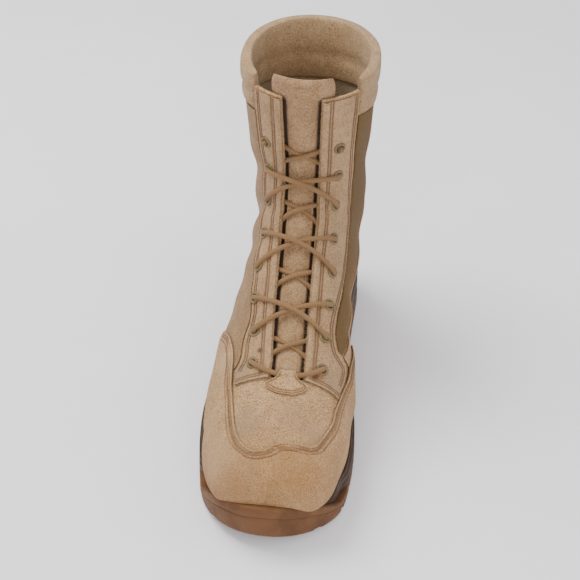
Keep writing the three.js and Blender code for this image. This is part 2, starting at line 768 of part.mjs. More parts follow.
function makeLaceBar(first) {
  const side = [[0.02, 1, LACE_OVER], [-0.2, 0.78, LACE_OVER], [-0.34, 0.6, LACE_OVER],
    [-0.42, 0.38, LACE_OVER - 1.8], [-0.45, 0.15, LACE_UNDER + 0.4]];
  const stops = side.map(([down, share, lift]) => [first + down, -share * eyeletTurn(first), lift]);
  stops.push([first - 0.46, 0, LACE_UNDER + 0.2]);
  for (const [down, share, lift] of [...side].reverse()) {
    stops.push([first + down, share * eyeletTurn(first), lift]);
  }
  return strand(stops, 16);
}

// The boot
const boot = new THREE.Group();
const pieces = new THREE.Group();
boot.add(pieces);

function add(name, solid, colour, roughness) {
  const { vertProperties, triVerts } = solid.getMesh();
  const geometry = new THREE.BufferGeometry()
    .setAttribute('position', new THREE.BufferAttribute(vertProperties, 3))
    .setIndex(new THREE.BufferAttribute(triVerts, 1));
  geometry.computeVertexNormals();
  const material = new THREE.MeshStandardMaterial({ color: COLOURS[colour], roughness, metalness: 0 });
  const mesh = new THREE.Mesh(geometry, material);
  mesh.name = name;
  pieces.add(mesh);
}

const rows = eyeletSections();
const holes = {};
for (const side of [1, -1]) {
  holes[side] = rows.map((s) => eyeletHole(s, side * eyeletTurn(s))).reduce((a, b) => a.add(b));
}

add('outsole', makeOutsole(), 'outsole', 0.7);
add('midsole', makeMidsole(), 'midsole', 0.8);
add('insole', makeInsole(), 'insole', 0.9);
add('upper', makeUpper().subtract(holes[1]).subtract(holes[-1]), 'suede', 0.95);
add('tongue', makeTongue(), 'tongue', 0.95);
add('toe_guard', makeToeGuard(), 'suede', 0.95);
add('facing_medial', makeFacing(1, 'medial').subtract(holes[1]), 'facing', 0.95);
add('facing_lateral', makeFacing(-1, 'lateral').subtract(holes[-1]), 'facing', 0.95);
add('throat_tab', makeThroatTab(), 'suede', 0.95);
add('quarter_medial', makeQuarter(MEDIAL_QUARTER, 1), 'suede', 0.95);
add('quarter_lateral', makeQuarter(LATERAL_QUARTER, -1), 'suede', 0.95);
add('side_vent', makeVent(), 'webbing', 0.8);
add('back_stay', makeBackStay(), 'suede', 0.95);
add('collar', makeCollar(), 'collar', 0.9);
rows.forEach((s, i) => {
  add(`eyelet_medial_${i + 1}`, makeEyelet(s, eyeletTurn(s)), 'eyelet', 0.5);
  add(`eyelet_lateral_${i + 1}`, makeEyelet(s, -eyeletTurn(s)), 'eyelet', 0.5);
});
add('lace_bar', makeLaceBar(rows[0]), 'lace', 0.85);
for (let i = 0; i + 1 < rows.length; i += 1) {
  const over = i % 2 === 1;
  const ease = over ? 0 : 0.15 * (rows[i + 1] - rows[i]);
  const lift = over ? LACE_OVER : LACE_UNDER + GAP;
  add(`lace_cross_${i + 1}`, crossing(rows[i] + ease, rows[i + 1] - ease, over, lift), 'lace', 0.85);
}

// The origin is on the floor, in the middle of the whole boot's box.
const box = new THREE.Box3().setFromObject(pieces);
const middle = box.getCenter(new THREE.Vector3());
pieces.position.set(-middle.x, -middle.y, -box.min.z);

export default boot;
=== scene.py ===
"""Looks of a laced suede combat boot for the right foot, standing empty on its sole.

Lengths are in millimetres until a mesh is made. A place on the upper is a section of the last,
an angle round it in degrees (0 in front, + on the wearer's inner side) and a lift above it.
"""
import math
import bpy
import numpy as np
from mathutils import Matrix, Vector, kdtree


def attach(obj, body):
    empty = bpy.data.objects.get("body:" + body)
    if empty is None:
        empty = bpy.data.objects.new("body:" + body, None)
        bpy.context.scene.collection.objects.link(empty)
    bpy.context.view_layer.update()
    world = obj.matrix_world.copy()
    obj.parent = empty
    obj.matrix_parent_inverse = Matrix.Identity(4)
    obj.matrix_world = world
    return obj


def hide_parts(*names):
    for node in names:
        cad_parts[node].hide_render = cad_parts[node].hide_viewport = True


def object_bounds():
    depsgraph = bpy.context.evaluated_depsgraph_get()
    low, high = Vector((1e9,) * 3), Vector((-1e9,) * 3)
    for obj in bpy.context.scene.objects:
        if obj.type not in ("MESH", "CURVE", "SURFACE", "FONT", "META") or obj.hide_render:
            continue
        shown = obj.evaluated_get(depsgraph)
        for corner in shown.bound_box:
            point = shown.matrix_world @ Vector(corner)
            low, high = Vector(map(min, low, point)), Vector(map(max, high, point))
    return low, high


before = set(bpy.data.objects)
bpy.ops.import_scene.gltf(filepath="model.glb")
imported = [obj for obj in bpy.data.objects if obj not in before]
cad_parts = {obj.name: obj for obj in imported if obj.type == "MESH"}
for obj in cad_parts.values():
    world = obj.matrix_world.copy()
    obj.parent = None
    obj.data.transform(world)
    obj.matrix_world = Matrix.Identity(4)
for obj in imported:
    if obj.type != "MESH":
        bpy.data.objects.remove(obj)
CAD_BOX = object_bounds()

# The last and the sole
LAST_LENGTH = 296.0
BALL_WIDTH = 101.0
INSTEP_HEIGHT = 124.0
SHAFT_HEIGHT = 214.0
BALL_SEAT = 17.0
HEEL_SEAT = 33.0
TOE_RISE = 9.0
SEAT_SINK = 3.0
TOE_MARGIN = 6.0
HEEL_MARGIN = 6.0
SIDE_MARGIN = 5.0
TOE_ROUND = 50.0
HEEL_ROUND = 42.0
TOE_SPRING = 11.0
HEEL_BEVEL = 2.5
ARCH_LIFT = 3.5
LUG_DEPTH = 4.0
SHEET = 4.5
HEEL_LIFT = 5.0
RIM = 7.5
TOE_LIP = 4.0
BUMPER_WALL = 4.2
BUMPER_REACH = 46.0
BUMPER_DROP = 8.0
GROOVE = 5.0
LUG_PITCH = 21.0
LUG_SLANT = 0.22
WAIST = (0.53, 0.69)
SOLE_LENGTH = TOE_MARGIN + LAST_LENGTH + HEEL_MARGIN

# Walls, layers and the lacing
GAP = 0.3
WALL = 2.4
OVERLAY = 1.4
QUARTER = 1.0
WEBBING = 0.7
STAY = 1.2
TUCK = 4.0
TONGUE = 5.0
TONGUE_SEAMS = (0, 2.2)
COLLAR_PAD = 3.0
QUARTER_TOP = GAP + QUARTER
OVERLAY_TOP = GAP + OVERLAY
LAP = QUARTER_TOP
UPPER_TOP = 20.6
THROAT_START = 5.9
THROAT_ROUND = 0.12
COLLAR_FOOT = 19.2
COLLAR_END = 21.35
COLLAR_TURNS = (55.5, 311.5)
BACK_SEAM = 179.4
STAY_FOOT = 13.65
STAY_TOP = 19.05
STAY_HALF = 14
EYELET_ROWS = 8
EYELET_PITCH = 25.0
FIRST_EYELET = 6.5
LACE = 3.5
STITCH_PITCH = 2.2
RIB_PITCH = 1.15
LACE_STEP = 0.55
THREAD = 0.58

# Sections of the last: front, instep, leg, back, rise, ridge, keel, medial, lateral, wide, crown, corner
SECTIONS = np.array([
    [0.003, 0.115, 0, 0.01, 0.035, 0.02, 0.02, 0.1, 0.1, 0.5, 2, 2],
    [0.01, 0.245, 0, 0.016, 0.022, 0.02, 0.02, 0.24, 0.24, 0.45, 2.3, 2.5],
    [0.03, 0.325, 0, 0.035, 0.008, 0.045, 0.02, 0.335, 0.35, 0.4, 2.4, 2.8],
    [0.07, 0.375, 0, 0.075, 0, 0.065, 0.02, 0.396, 0.43, 0.34, 2.4, 3],
    [0.13, 0.415, 0, 0.13, 0, 0.07, 0.01, 0.436, 0.482, 0.3, 2.3, 3.1],
    [0.2, 0.455, 0, 0.198, 0, 0.07, 0, 0.478, 0.512, 0.27, 2.2, 3.2],
    [0.275, 0.51, 0, 0.272, 0, 0.06, -0.01, 0.488, 0.52, 0.25, 2.1, 3.2],
    [0.35, 0.59, 0, 0.352, 0, 0.045, -0.03, 0.502, 0.518, 0.25, 2.1, 3.2],
    [0.42, 0.69, 0, 0.44, 0, 0.03, -0.04, 0.478, 0.492, 0.27, 2.1, 3.2],
    [0.483, 0.8, 0, 0.535, 0, 0.022, -0.04, 0.445, 0.455, 0.3, 2.1, 3.2],
    [0.535, 0.9, 0, 0.635, 0, 0.015, -0.03, 0.415, 0.42, 0.33, 2.1, 3.2],
    [0.573, 1, 0, 0.74, 0, 0.01, -0.02, 0.398, 0.39, 0.36, 2.1, 3.1],
    [0.6, 1, 0.11, 0.85, 0, 0.005, -0.01, 0.392, 0.375, 0.39, 2.1, 2.9],
    [0.617, 1, 0.21, 0.955, 0.012, 0, 0, 0.392, 0.37, 0.43, 2.1, 2.6],
    [0.627, 1, 0.29, 1, 0.105, 0, 0, 0.396, 0.37, 0.47, 2.1, 2.3],
    [0.633, 1, 0.37, 1.003, 0.225, 0, 0, 0.402, 0.38, 0.5, 2.1, 2.2],
    [0.635, 1, 0.46, 0.985, 0.365, 0, 0, 0.41, 0.392, 0.5, 2.1, 2.1],
    [0.633, 1, 0.56, 0.966, 0.505, 0, 0, 0.418, 0.408, 0.5, 2.1, 2.1],
    [0.63, 1, 0.67, 0.96, 0.64, 0, 0, 0.43, 0.426, 0.5, 2.1, 2.1],
    [0.625, 1, 0.79, 0.966, 0.77, 0, 0, 0.442, 0.442, 0.5, 2.1, 2.1],
    [0.62, 1, 0.9, 0.976, 0.885, 0, 0, 0.453, 0.453, 0.5, 2.1, 2.1],
    [0.614, 1, 1, 0.986, 0.98, 0, 0, 0.46, 0.46, 0.5, 2.1, 2.1],
])
LAST_SECTION = len(SECTIONS) - 1

# Half widths of the sole from toe to heel, medial and lateral, as shares of the ball width
OUTLINE = np.array([
    [0.394, 0.377], [0.468, 0.438], [0.499, 0.512], [0.474, 0.54], [0.388, 0.495],
    [0.348, 0.424], [0.344, 0.375], [0.346, 0.352], [0.333, 0.333],
])

# The throat: section, half opening, outer edge of the medial and of the lateral facing
THROAT = np.array([
    [5.93, 13, 47, 41.5], [6.4, 12.5, 50.5, 41.5], [6.75, 12.5, 53, 37], [7.12, 13, 53, 36.5],
    [7.34, 13, 41.5, 36.5], [7.8, 13.5, 38.5, 35], [8.3, 14, 40, 34], [9, 15, 46, 38],
    [10, 16.5, 54, 42], [11, 18, 58, 44.5], [12, 19, 58, 46], [14, 18, 56, 46.5],
    [16, 17.5, 55, 46.5], [18, 17, 54, 46], [UPPER_TOP + 0.3, 17, 53, 45],
])

# Facings by side: column of the outer edge, node, and how far in its outer seams lie
FACINGS = {1: (2, "facing_medial", (1.9, 3.9)), -1: (3, "facing_lateral", (2.5, 4.4))}
THROAT_SEAMS = (5.6, 7.5)
LIP_SEAMS = (2.5, 4.4)

# Toe guard: its upper edge from the lateral wing round to the medial one, and its foot
GUARD = np.array([
    [8.32, -67, 9, -128], [7.79, -53, 8.5, -128], [7.33, -46.5, 7.9, -128], [6.88, -44, 7.3, -128],
    [6.42, -44, 6.7, -128], [5.79, -43, 6, -128], [5.1, -40, 5.2, -128], [4.51, -37, 4.4, -128],
    [3.94, -33, 3.4, -128], [3.5, -26, 2.2, -128], [3.22, -17, 1.2, -120], [3.27, -8, 0.3, -90],
    [3.42, -4, 0, -45], [3.59, 0, 0, 0], [3.66, 8, 0, 45], [3.67, 16, 0.3, 90], [3.68, 24, 1.2, 120],
    [3.85, 31, 2.4, 128], [4.34, 37, 3.7, 128], [4.93, 42, 4.8, 128], [5.45, 44.5, 5.6, 128],
    [6.1, 50, 6.4, 128], [6.7, 55.5, 7, 128], [7.35, 60, 7.7, 128], [8, 69, 8.4, 128],
    [8.6, 77, 9, 128],
])
# Section where the guard's wings start to lie over the quarters, and over what length they rise
LATERAL_LAP = 6.1
MEDIAL_LAP = 7.1
LAP_RAMP = 0.6

# Quarters: section and angle of the front edge, and the section at the back seam
MEDIAL_QUARTER = np.array([
    [7.55, 122, 12.6], [7.5, 100, 12.9], [7.46, 78, 13.15], [7.43, 60, 13.35], [7.45, 52, 13.5],
    [7.9, 59, 13.8], [8.4, 66, 14.1], [8.8, 71, 14.4], [9.3, 79, 14.8], [9.75, 84, 15.1],
    [10.3, 88, 15.4], [11.1, 93, 15.8], [12, 95, 16.2], [13.5, 95, 16.8], [15.5, 94, 17.5],
    [17.5, 93, 18.3], [19.05, 92, 19.05],
])
LATERAL_QUARTER = np.array([
    [6.75, 118, 12.6], [6.65, 95, 12.9], [6.57, 72, 13.1], [6.52, 54, 13.3], [6.55, 43.5, 13.45],
    [6.85, 38.6, 13.6], [7.5, 38, 13.8], [8.05, 35.6, 14], [8.5, 36.4, 14.25], [8.95, 39.2, 14.5],
    [10, 43.5, 15], [11, 46, 15.4], [12, 47.5, 15.9], [14, 48, 16.7], [17, 48, 18],
    [19.05, 47.5, 19.05],
])

# Webbing: section, front and rear angle
VENT = np.array([
    [7.47, 44, 49.5], [7.9, 41, 56.5], [8.4, 43.5, 63.5], [8.8, 46.5, 69], [9.3, 51, 75.5],
    [9.75, 54.5, 80.5], [10.3, 57.5, 85], [11.1, 60, 89.5], [12, 60, 91.5], [14, 58, 93],
    [16, 57, 92], [19.05, 56, 90.5],
])

# Throat tab: section and half width, from its free end down over the vamp
TAB = np.array([
    [6.24, 6.2], [6.12, 6], [6, 7], [5.9, 10.5], [5.82, 15], [5.7, 15.5], [5.58, 13], [5.47, 9],
    [5.4, 4],
])

# Eyelet line: section and angle
EYELET_LINE = np.array([
    [6.5, 27], [7.6, 28], [8.8, 33], [10, 36], [12, 37], [15, 36], [18, 35], [21, 34],
])

# Creases: section and angle of both ends, width, depth
CREASES = np.array([
    [4.62, -28, 4.5, 30, 4.5, 0.42], [5.12, -34, 5.02, 8, 4.0, 0.34], [5.2, 10, 5.28, 40, 4.0, 0.34],
    [4.1, -16, 4.2, 20, 5.0, 0.25], [8.3, -44, 9.6, -92, 8.0, 1.8], [9.6, -50, 11.2, -112, 9.0, 2.0],
    [11.2, -56, 12.4, -128, 9.0, 1.7], [8.8, 76, 9.8, 112, 8.0, 1.5], [10.6, 96, 12.2, 134, 9.0, 1.8],
    [13.1, -62, 13.6, -138, 10.0, 1.5], [13.2, 100, 13.8, 146, 10.0, 1.5],
    [15.8, -70, 15.2, -150, 13.0, 1.5], [16.4, 104, 16.0, 150, 13.0, 1.3], [9.0, -25, 9.9, -36, 5.0, 0.4],
    [9.9, 26, 10.6, 48, 5.0, 0.4], [12.3, -24, 12.9, -44, 5.0, 0.5], [12.6, 26, 13.2, 52, 5.0, 0.5],
])
SECTION_STEP = 20.0
ROUND_RADIUS = 48.0

# Steps between two rows of a table, and a distance that is far from any seam
LINE_STEPS = 24
FAR = 9.0


def ramp(value, low, high):
    """Smooth rise from 0 to 1."""
    share = np.clip((value - low) / (high - low), 0, 1)
    return share * share * (3 - 2 * share)


def hump(value, width):
    """1 at zero, falling off smoothly on both sides."""
    return np.exp(-(value / width) ** 2)


def unit(vectors):
    return vectors / np.maximum(np.linalg.norm(vectors, axis=-1, keepdims=True), 1e-9)


def way_along(points):
    """Distance of each point from the first, along their line."""
    return np.concatenate([[0], np.cumsum(np.linalg.norm(np.diff(points, axis=0), axis=1))])


def resampled(line, way, at):
    """A line's values at other distances along it."""
    return np.stack([np.interp(at, way, line[:, k]) for k in range(line.shape[1])], 1)


def through(rows, at):
    """Values of a table between its rows, on a smooth curve through them."""
    at = np.asarray(at, float)
    step = np.clip(np.floor(at).astype(int), 0, len(rows) - 2)
    f = (at - step)[..., None]
    longer = np.vstack([2 * rows[0] - rows[1], rows, 2 * rows[-1] - rows[-2]])
    a, b, d, e = (longer[step + k] for k in range(4))
    return b + 0.5 * f * (d - a + f * (2 * a - 5 * b + 4 * d - e + f * (3 * (b - d) + e - a)))


def straight(rows, at, column):
    """A column of a table, in straight lines between its rows."""
    return np.interp(at, rows[:, 0], rows[:, column])


def footbed(y):
    """Height of the upper's underside along the boot."""
    k = y / SOLE_LENGTH
    toe = np.clip((0.22 - k) / 0.22, 0, 1) ** 1.8
    return BALL_SEAT + (HEEL_SEAT - BALL_SEAT) * ramp(k, 0.36, 0.7) + TOE_RISE * toe


def tread(y):
    """Height of the outsole's underside: toe spring, arch and bevelled heel."""
    k = y / SOLE_LENGTH
    toe = np.clip((0.2 - k) / 0.2, 0, 1) ** 2
    heel = np.clip((k - 0.955) / 0.045, 0, 1) ** 2
    arch = ramp(k, WAIST[0], WAIST[0] + 0.05) - ramp(k, WAIST[1] - 0.05, WAIST[1])
    return TOE_SPRING * toe + HEEL_BEVEL * heel + ARCH_LIFT * arch


def outsole_top(y):
    """Height of the plane between the outsole and the midsole."""
    k = y / SOLE_LENGTH
    toe = TOE_SPRING * np.clip((0.2 - k) / 0.2, 0, 1) ** 2
    return toe + LUG_DEPTH + SHEET + HEEL_LIFT * ramp(k, 0.5, 0.72)


def rim(y):
    """Height of the sole's upper edge."""
    return footbed(y) + RIM + TOE_LIP * (1 - ramp(y, 0, TOE_ROUND / 2))


def outline_point(turn):
    """Outline of the sole: toe first, down the medial side and back up the lateral one."""
    y = SOLE_LENGTH * (1 - np.cos(turn)) / 2
    width = through(OUTLINE, (len(OUTLINE) - 1) * y / SOLE_LENGTH)
    toe = np.clip(1 - y / TOE_ROUND, 0, 1)
    heel = np.clip(1 - (SOLE_LENGTH - y) / HEEL_ROUND, 0, 1)
    round_off = (1 - toe ** 2.2) ** (1 / 2.2) * (1 - heel ** 2.3) ** (1 / 2.3)
    middle = (width[..., 0] - width[..., 1]) * BALL_WIDTH / 2
    half = (width[..., 0] + width[..., 1]) * BALL_WIDTH / 2 + SIDE_MARGIN
    return np.stack([middle + np.sign(np.sin(turn)) * half * round_off, y], -1)


OUTLINE_WIDEST = outline_point(np.linspace(0, np.pi, 2000))[:, 0].max()
SHIFT = np.array([CAD_BOX[1].x * 1000 - OUTLINE_WIDEST, CAD_BOX[0].y * 1000, 0.0])


def ring_of_last(section, degrees):
    """A point of the last: its ring in a section, at an angle round it."""
    s = through(SECTIONS, section)
    front, instep, leg, back, rise, ridge, keel, medial, lateral, wide, crown, corner = np.moveaxis(s, -1, 0)
    leg_height = SHAFT_HEIGHT + HEEL_SEAT - BALL_SEAT - INSTEP_HEIGHT
    front_y = TOE_MARGIN + front * LAST_LENGTH
    front_z = BALL_SEAT + instep * INSTEP_HEIGHT + leg * leg_height
    back_y = TOE_MARGIN + back * LAST_LENGTH
    back_z = footbed(back_y) - SEAT_SINK + rise * SHAFT_HEIGHT
    cos, sin = np.cos(np.radians(degrees)), np.sin(np.radians(degrees))
    square = np.where(cos >= 0, crown, corner)
    along = np.abs(cos) ** (2 / square)
    share = np.where(cos >= 0, wide + (1 - wide) * along, wide * (1 - along))
    half = np.where(sin >= 0, medial, -lateral) * np.abs(sin) ** (2 / square)
    x = (keel + (ridge - keel) * share + half) * BALL_WIDTH
    return np.stack([x, back_y + (front_y - back_y) * share, back_z + (front_z - back_z) * share], -1)


def on_last(section, degrees):
    """A point of the last; past the collar it goes straight on."""
    section, degrees = np.broadcast_arrays(np.asarray(section, float), np.asarray(degrees, float))
    point = ring_of_last(np.minimum(section, LAST_SECTION), degrees)
    over = np.clip(section - LAST_SECTION, 0, None)[..., None]
    if over.any():
        point = point + (point - ring_of_last(np.full(section.shape, LAST_SECTION - 1.0), degrees)) * over
    return point


def way_out(section, degrees):
    """Direction that points straight out of the last."""
    step, turn = 0.004, 0.1
    along = on_last(section + step, degrees) - on_last(np.maximum(section - step, 0), degrees)
    return unit(np.cross(on_last(section, degrees + turn) - on_last(section, degrees - turn), along))


def place(section, degrees, lift=0.0):
    """A point at a lift above the last."""
    section, degrees = np.broadcast_arrays(np.asarray(section, float), np.asarray(degrees, float))
    lift = np.asarray(lift, float)
    return on_last(section, degrees) + way_out(section, degrees) * lift[..., None]


def moved(line, distance):
    """A line of places moved sideways on the last by a distance."""
    s, g = line[:, 0], line[:, 1]
    here = on_last(s, g)
    by_s = (on_last(s + 0.01, g) - on_last(s - 0.01, g)) / 0.02
    by_g = (on_last(s, g + 0.5) - on_last(s, g - 0.5))
    side = unit(np.cross(way_out(s, g), np.gradient(here, axis=0))) * distance
    ss, sg, gg = (by_s * by_s).sum(1), (by_s * by_g).sum(1), (by_g * by_g).sum(1)
    ts, tg = (side * by_s).sum(1), (side * by_g).sum(1)
    det = ss * gg - sg * sg
    return np.stack([s + (ts * gg - tg * sg) / det, g + (tg * ss - ts * sg) / det], 1)


def evened(line, step):
    """A line of places, with even steps along the last."""
    points = on_last(line[:, 0], line[:, 1])
    way = way_along(points)
    at = np.linspace(0, way[-1], max(int(round(way[-1] / step)), 2) + 1)
    return resampled(line, way, at)


def line_of(rows, section=0, degrees=1, side=1):
    """A smooth line of places from two columns of a table, on either side of the foot."""
    found = through(rows, np.linspace(0, len(rows) - 1, (len(rows) - 1) * LINE_STEPS + 1))
    return np.stack([found[:, section], side * found[:, degrees]], 1)


def crease(section, degrees):
    """Soft troughs and ridges of the worn upper."""
    degrees = np.where(degrees > 180, degrees - 360, degrees)
    u, v = section * SECTION_STEP, np.radians(degrees) * ROUND_RADIUS
    total = 0.16 * np.sin(u / 9.0 + 1.3 * np.sin(v / 17)) * np.sin(v / 12.0 + 0.7 * np.sin(u / 21))
    total = total + 0.22 * np.sin(u / 26.0 + v / 31 + 1) * ramp(section, 5, 9)
    for s0, g0, s1, g1, width, depth in CREASES:
        a = np.array([s0 * SECTION_STEP, math.radians(g0) * ROUND_RADIUS])
        b = np.array([s1 * SECTION_STEP, math.radians(g1) * ROUND_RADIUS])
        length = np.linalg.norm(b - a)
        way = (b - a) / length
        along = (u - a[0]) * way[0] + (v - a[1]) * way[1]
        across = -(u - a[0]) * way[1] + (v - a[1]) * way[0] + 0.12 * length * (along / length - 0.5) ** 2
        past = np.maximum(np.maximum(-along, along - length), 0) / (2 * width)
        fade = hump(past, 1)
        trough = hump(across, width) - 0.5 * hump(np.abs(across) - 1.9 * width, width)
        total = total - depth * fade * trough
    return total


def nearest(points, targets):
    """Distance from each point to the nearest of the targets."""
    tree = kdtree.KDTree(len(targets))
    for i, target in enumerate(targets):
        tree.insert(target, i)
    tree.balance()
    flat = points.reshape(-1, 3)
    return np.array([tree.find(p)[2] for p in flat]).reshape(points.shape[:-1])


# Panels: the round of an edge, the fine steps at it, and the trough that a seam presses in
EDGE_ROUND = 0.75
EDGE_STEPS = (0.0, 0.12, 0.35, 0.75)
TUCK_STEPS = 160
TROUGH = 0.65
TROUGH_WIDTH = 0.75
HOLE_RADIUS = 3.0


# Mesh making

def pick(piece):
    """Selects one piece alone and makes it active."""
    bpy.ops.object.select_all(action="DESELECT")
    piece.select_set(True)
    bpy.context.view_layer.objects.active = piece


def inside_out(points, out):
    """Whether the faces of a grid of points would look against the way out."""
    facing = np.cross(points[1:-1, 2:] - points[1:-1, :-2], points[2:, 1:-1] - points[:-2, 1:-1])
    return (facing * out[1:-1, 1:-1]).sum() < 0


def skin(name, points, outwards=None):
    """A grid of faces laid over rows of points, in millimetres of the last's own frame."""
    rows, columns = points.shape[:2]
    if outwards is not None and inside_out(points, outwards):
        points = points[:, ::-1]
    bpy.ops.object.select_all(action="DESELECT")
    bpy.ops.mesh.primitive_grid_add(x_subdivisions=columns - 1, y_subdivisions=rows - 1, size=1)
    piece = bpy.context.object
    piece.name = piece.data.name = name
    flat = np.zeros(len(piece.data.vertices) * 3)
    piece.data.vertices.foreach_get("co", flat)
    flat = flat.reshape(-1, 3)
    column = np.rint((flat[:, 0] + 0.5) * (columns - 1)).astype(int)
    row = np.rint((flat[:, 1] + 0.5) * (rows - 1)).astype(int)
    placed = (points[row, column] + SHIFT) / 1000
    piece.data.vertices.foreach_set("co", placed.ravel())
    piece.data.update()
    return piece, row, column


def store(piece, name, values):
    """Keeps a number for each vertex, for the materials to read."""
    attribute = piece.data.attributes.new(name, "FLOAT", "POINT")
    attribute.data.foreach_set("value", np.ascontiguousarray(values, dtype=np.float32))


def edit(piece, work):
    """Runs edit mode work with all of the piece selected."""
    pick(piece)
    bpy.ops.object.mode_set(mode="EDIT")
    bpy.ops.mesh.select_mode(type="VERT")
    bpy.ops.mesh.select_all(action="SELECT")
    work()
    bpy.ops.object.mode_set(mode="OBJECT")


def weld(piece, distance=2e-5):
    """Merges vertices that lie in one place."""
    edit(piece, lambda: bpy.ops.mesh.remove_doubles(threshold=distance))


def face_outwards(piece):
    """Turns all the faces of a closed piece outwards."""
    edit(piece, lambda: bpy.ops.mesh.normals_make_consistent(inside=False))


def cap_ends(piece):
    """Closes both ends of a tube with a face."""
    def work():
        bpy.ops.mesh.select_all(action="DESELECT")
        bpy.ops.mesh.select_non_manifold()
        bpy.ops.mesh.edge_face_add()

    edit(piece, work)


def drop_faces(piece, keep):
    """Deletes the faces with no vertex to keep."""
    mesh = piece.data
    pick(piece)
    bpy.ops.object.mode_set(mode="EDIT")
    bpy.ops.mesh.select_mode(type="FACE")
    bpy.ops.object.mode_set(mode="OBJECT")
    mesh.vertices.foreach_set("select", [False] * len(mesh.vertices))
    mesh.edges.foreach_set("select", [False] * len(mesh.edges))
    mesh.polygons.foreach_set("select", [not any(keep[v] for v in f.vertices) for f in mesh.polygons])
    bpy.ops.object.mode_set(mode="EDIT")
    bpy.ops.mesh.delete(type="FACE")
    bpy.ops.object.mode_set(mode="OBJECT")


def apply(piece, kind, **settings):
    """Adds a modifier with its settings and applies it."""
    pick(piece)
    modifier = piece.modifiers.new(kind, kind)
    for key, value in settings.items():
        setattr(modifier, key, value)
    bpy.ops.object.modifier_apply(modifier=modifier.name)


def thicken(piece, thickness, lining=0):
    """Gives a skin its wall, inwards, with another finish inside if there is a lining."""
    apply(piece, "SOLIDIFY", thickness=thickness / 1000, offset=-1, material_offset=lining,
          material_offset_rim=0)


def finish_piece(piece, slot, *materials, replaces=()):
    """Gives a piece its finish and hangs it under the root, and hides the nodes that it stands for; the slot
    is not used.
    """
    for material in materials:
        piece.data.materials.append(material)
    for polygon in piece.data.polygons:
        polygon.use_smooth = True
    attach(piece, "root")
    if replaces:
        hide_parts(*replaces)
    return piece


def joined(name, vertices, faces):
    """Many small things in one mesh, in millimetres of the last's own frame."""
    mesh = bpy.data.meshes.new(name)
    mesh.from_pydata((vertices + SHIFT) / 1000, [], faces)
    mesh.validate()
    piece = bpy.data.objects.new(name, mesh)
    bpy.context.scene.collection.objects.link(piece)
    return piece


def spaced(length, step):
    """Shares of a length: even steps, with finer ones at both ends."""
    start = np.array(EDGE_STEPS) / length
    middle = np.linspace(start[-1], 1 - start[-1], max(int(length / step), 2) + 1)
    return np.concatenate([start, middle[1:-1], 1 - start[::-1]])


def between(line_a, line_b, step_along, step_across, tuck=False):
    """Places of a panel between two edges, which share their steps."""
    middle = (line_a + line_b) / 2
    points = on_last(middle[:, 0], middle[:, 1])
    way = way_along(points)
    if tuck:
        share = np.linspace(0, 1, TUCK_STEPS)[None, :, None]
        sweep = line_a[:, None] + (line_b - line_a)[:, None] * share
        found = on_last(sweep[..., 0], sweep[..., 1])
        low = found[..., 2] < rim(found[..., 1]) - TUCK
        end = np.where(low.any(1), low.argmax(1), TUCK_STEPS - 1) / (TUCK_STEPS - 1)
        end = np.convolve(np.pad(end, 4, mode="edge"), np.ones(9) / 9, mode="valid")
        line_b = line_a + (line_b - line_a) * end[:, None]
    at = spaced(way[-1], step_along) * way[-1]
    a = resampled(line_a, way, at)
    b = resampled(line_b, way, at)
    gap = on_last(a[:, 0], a[:, 1]) - on_last(b[:, 0], b[:, 1])
    across = spaced(np.median(np.linalg.norm(gap, axis=1)) * 1.12, step_across)
    grid = a[:, None] + (b - a)[:, None] * across[None, :, None]
    return grid[..., 0], grid[..., 1]


def edge_distance(points):
    """Distance of each grid point to the nearest border of its panel, along the grid."""
    found = []
    for axis in (0, 1):
        step = np.linalg.norm(np.diff(points, axis=axis), axis=-1)
        zero = np.zeros_like(np.take(step, [0], axis=axis))
        way = np.concatenate([zero, np.cumsum(step, axis=axis)], axis=axis)
        total = np.take(way, [-1], axis=axis)
        found.append(np.minimum(way, total - way))
    return np.minimum(*found)


def panel(name, grid, top, thick, material, replaces, seams=(), slot="suede", holes=(), wavy=0.0,
          lift=0.0, trough=TROUGH):
    """A leather panel: a grid of places at its top's lift, with pressed seams, rounded edges, a wall."""
    s, g = grid
    bare = on_last(s, g)
    out = way_out(s, g)
    edge = edge_distance(bare)
    short = np.clip(EDGE_ROUND - edge, 0, EDGE_ROUND)
    height = top + crease(s, g) - (EDGE_ROUND - np.sqrt(EDGE_ROUND ** 2 - short ** 2)) + lift
    away = np.full(s.shape, FAR)
    if seams:
        sewn = np.concatenate([evened(line, 0.6) for line in seams])
        away = nearest(bare, on_last(sewn[:, 0], sewn[:, 1]))
    height = height - trough * hump(away, TROUGH_WIDTH)
    height = height + wavy * np.sin(s * 31 + g * 0.9) * np.exp(-edge / 1.5)
    points = bare + out * height[..., None]
    piece, row, column = skin(name, points)
    store(piece, "rim", edge[row, column])
    store(piece, "seam", away[row, column])
    if inside_out(points, out):
        edit(piece, bpy.ops.mesh.flip_normals)
    if len(holes):
        clear = nearest(bare, np.array(holes))
        drop_faces(piece, (clear > HOLE_RADIUS)[row, column])
    thicken(piece, thick)
    return finish_piece(piece, slot, material, replaces=replaces)


# Stitches

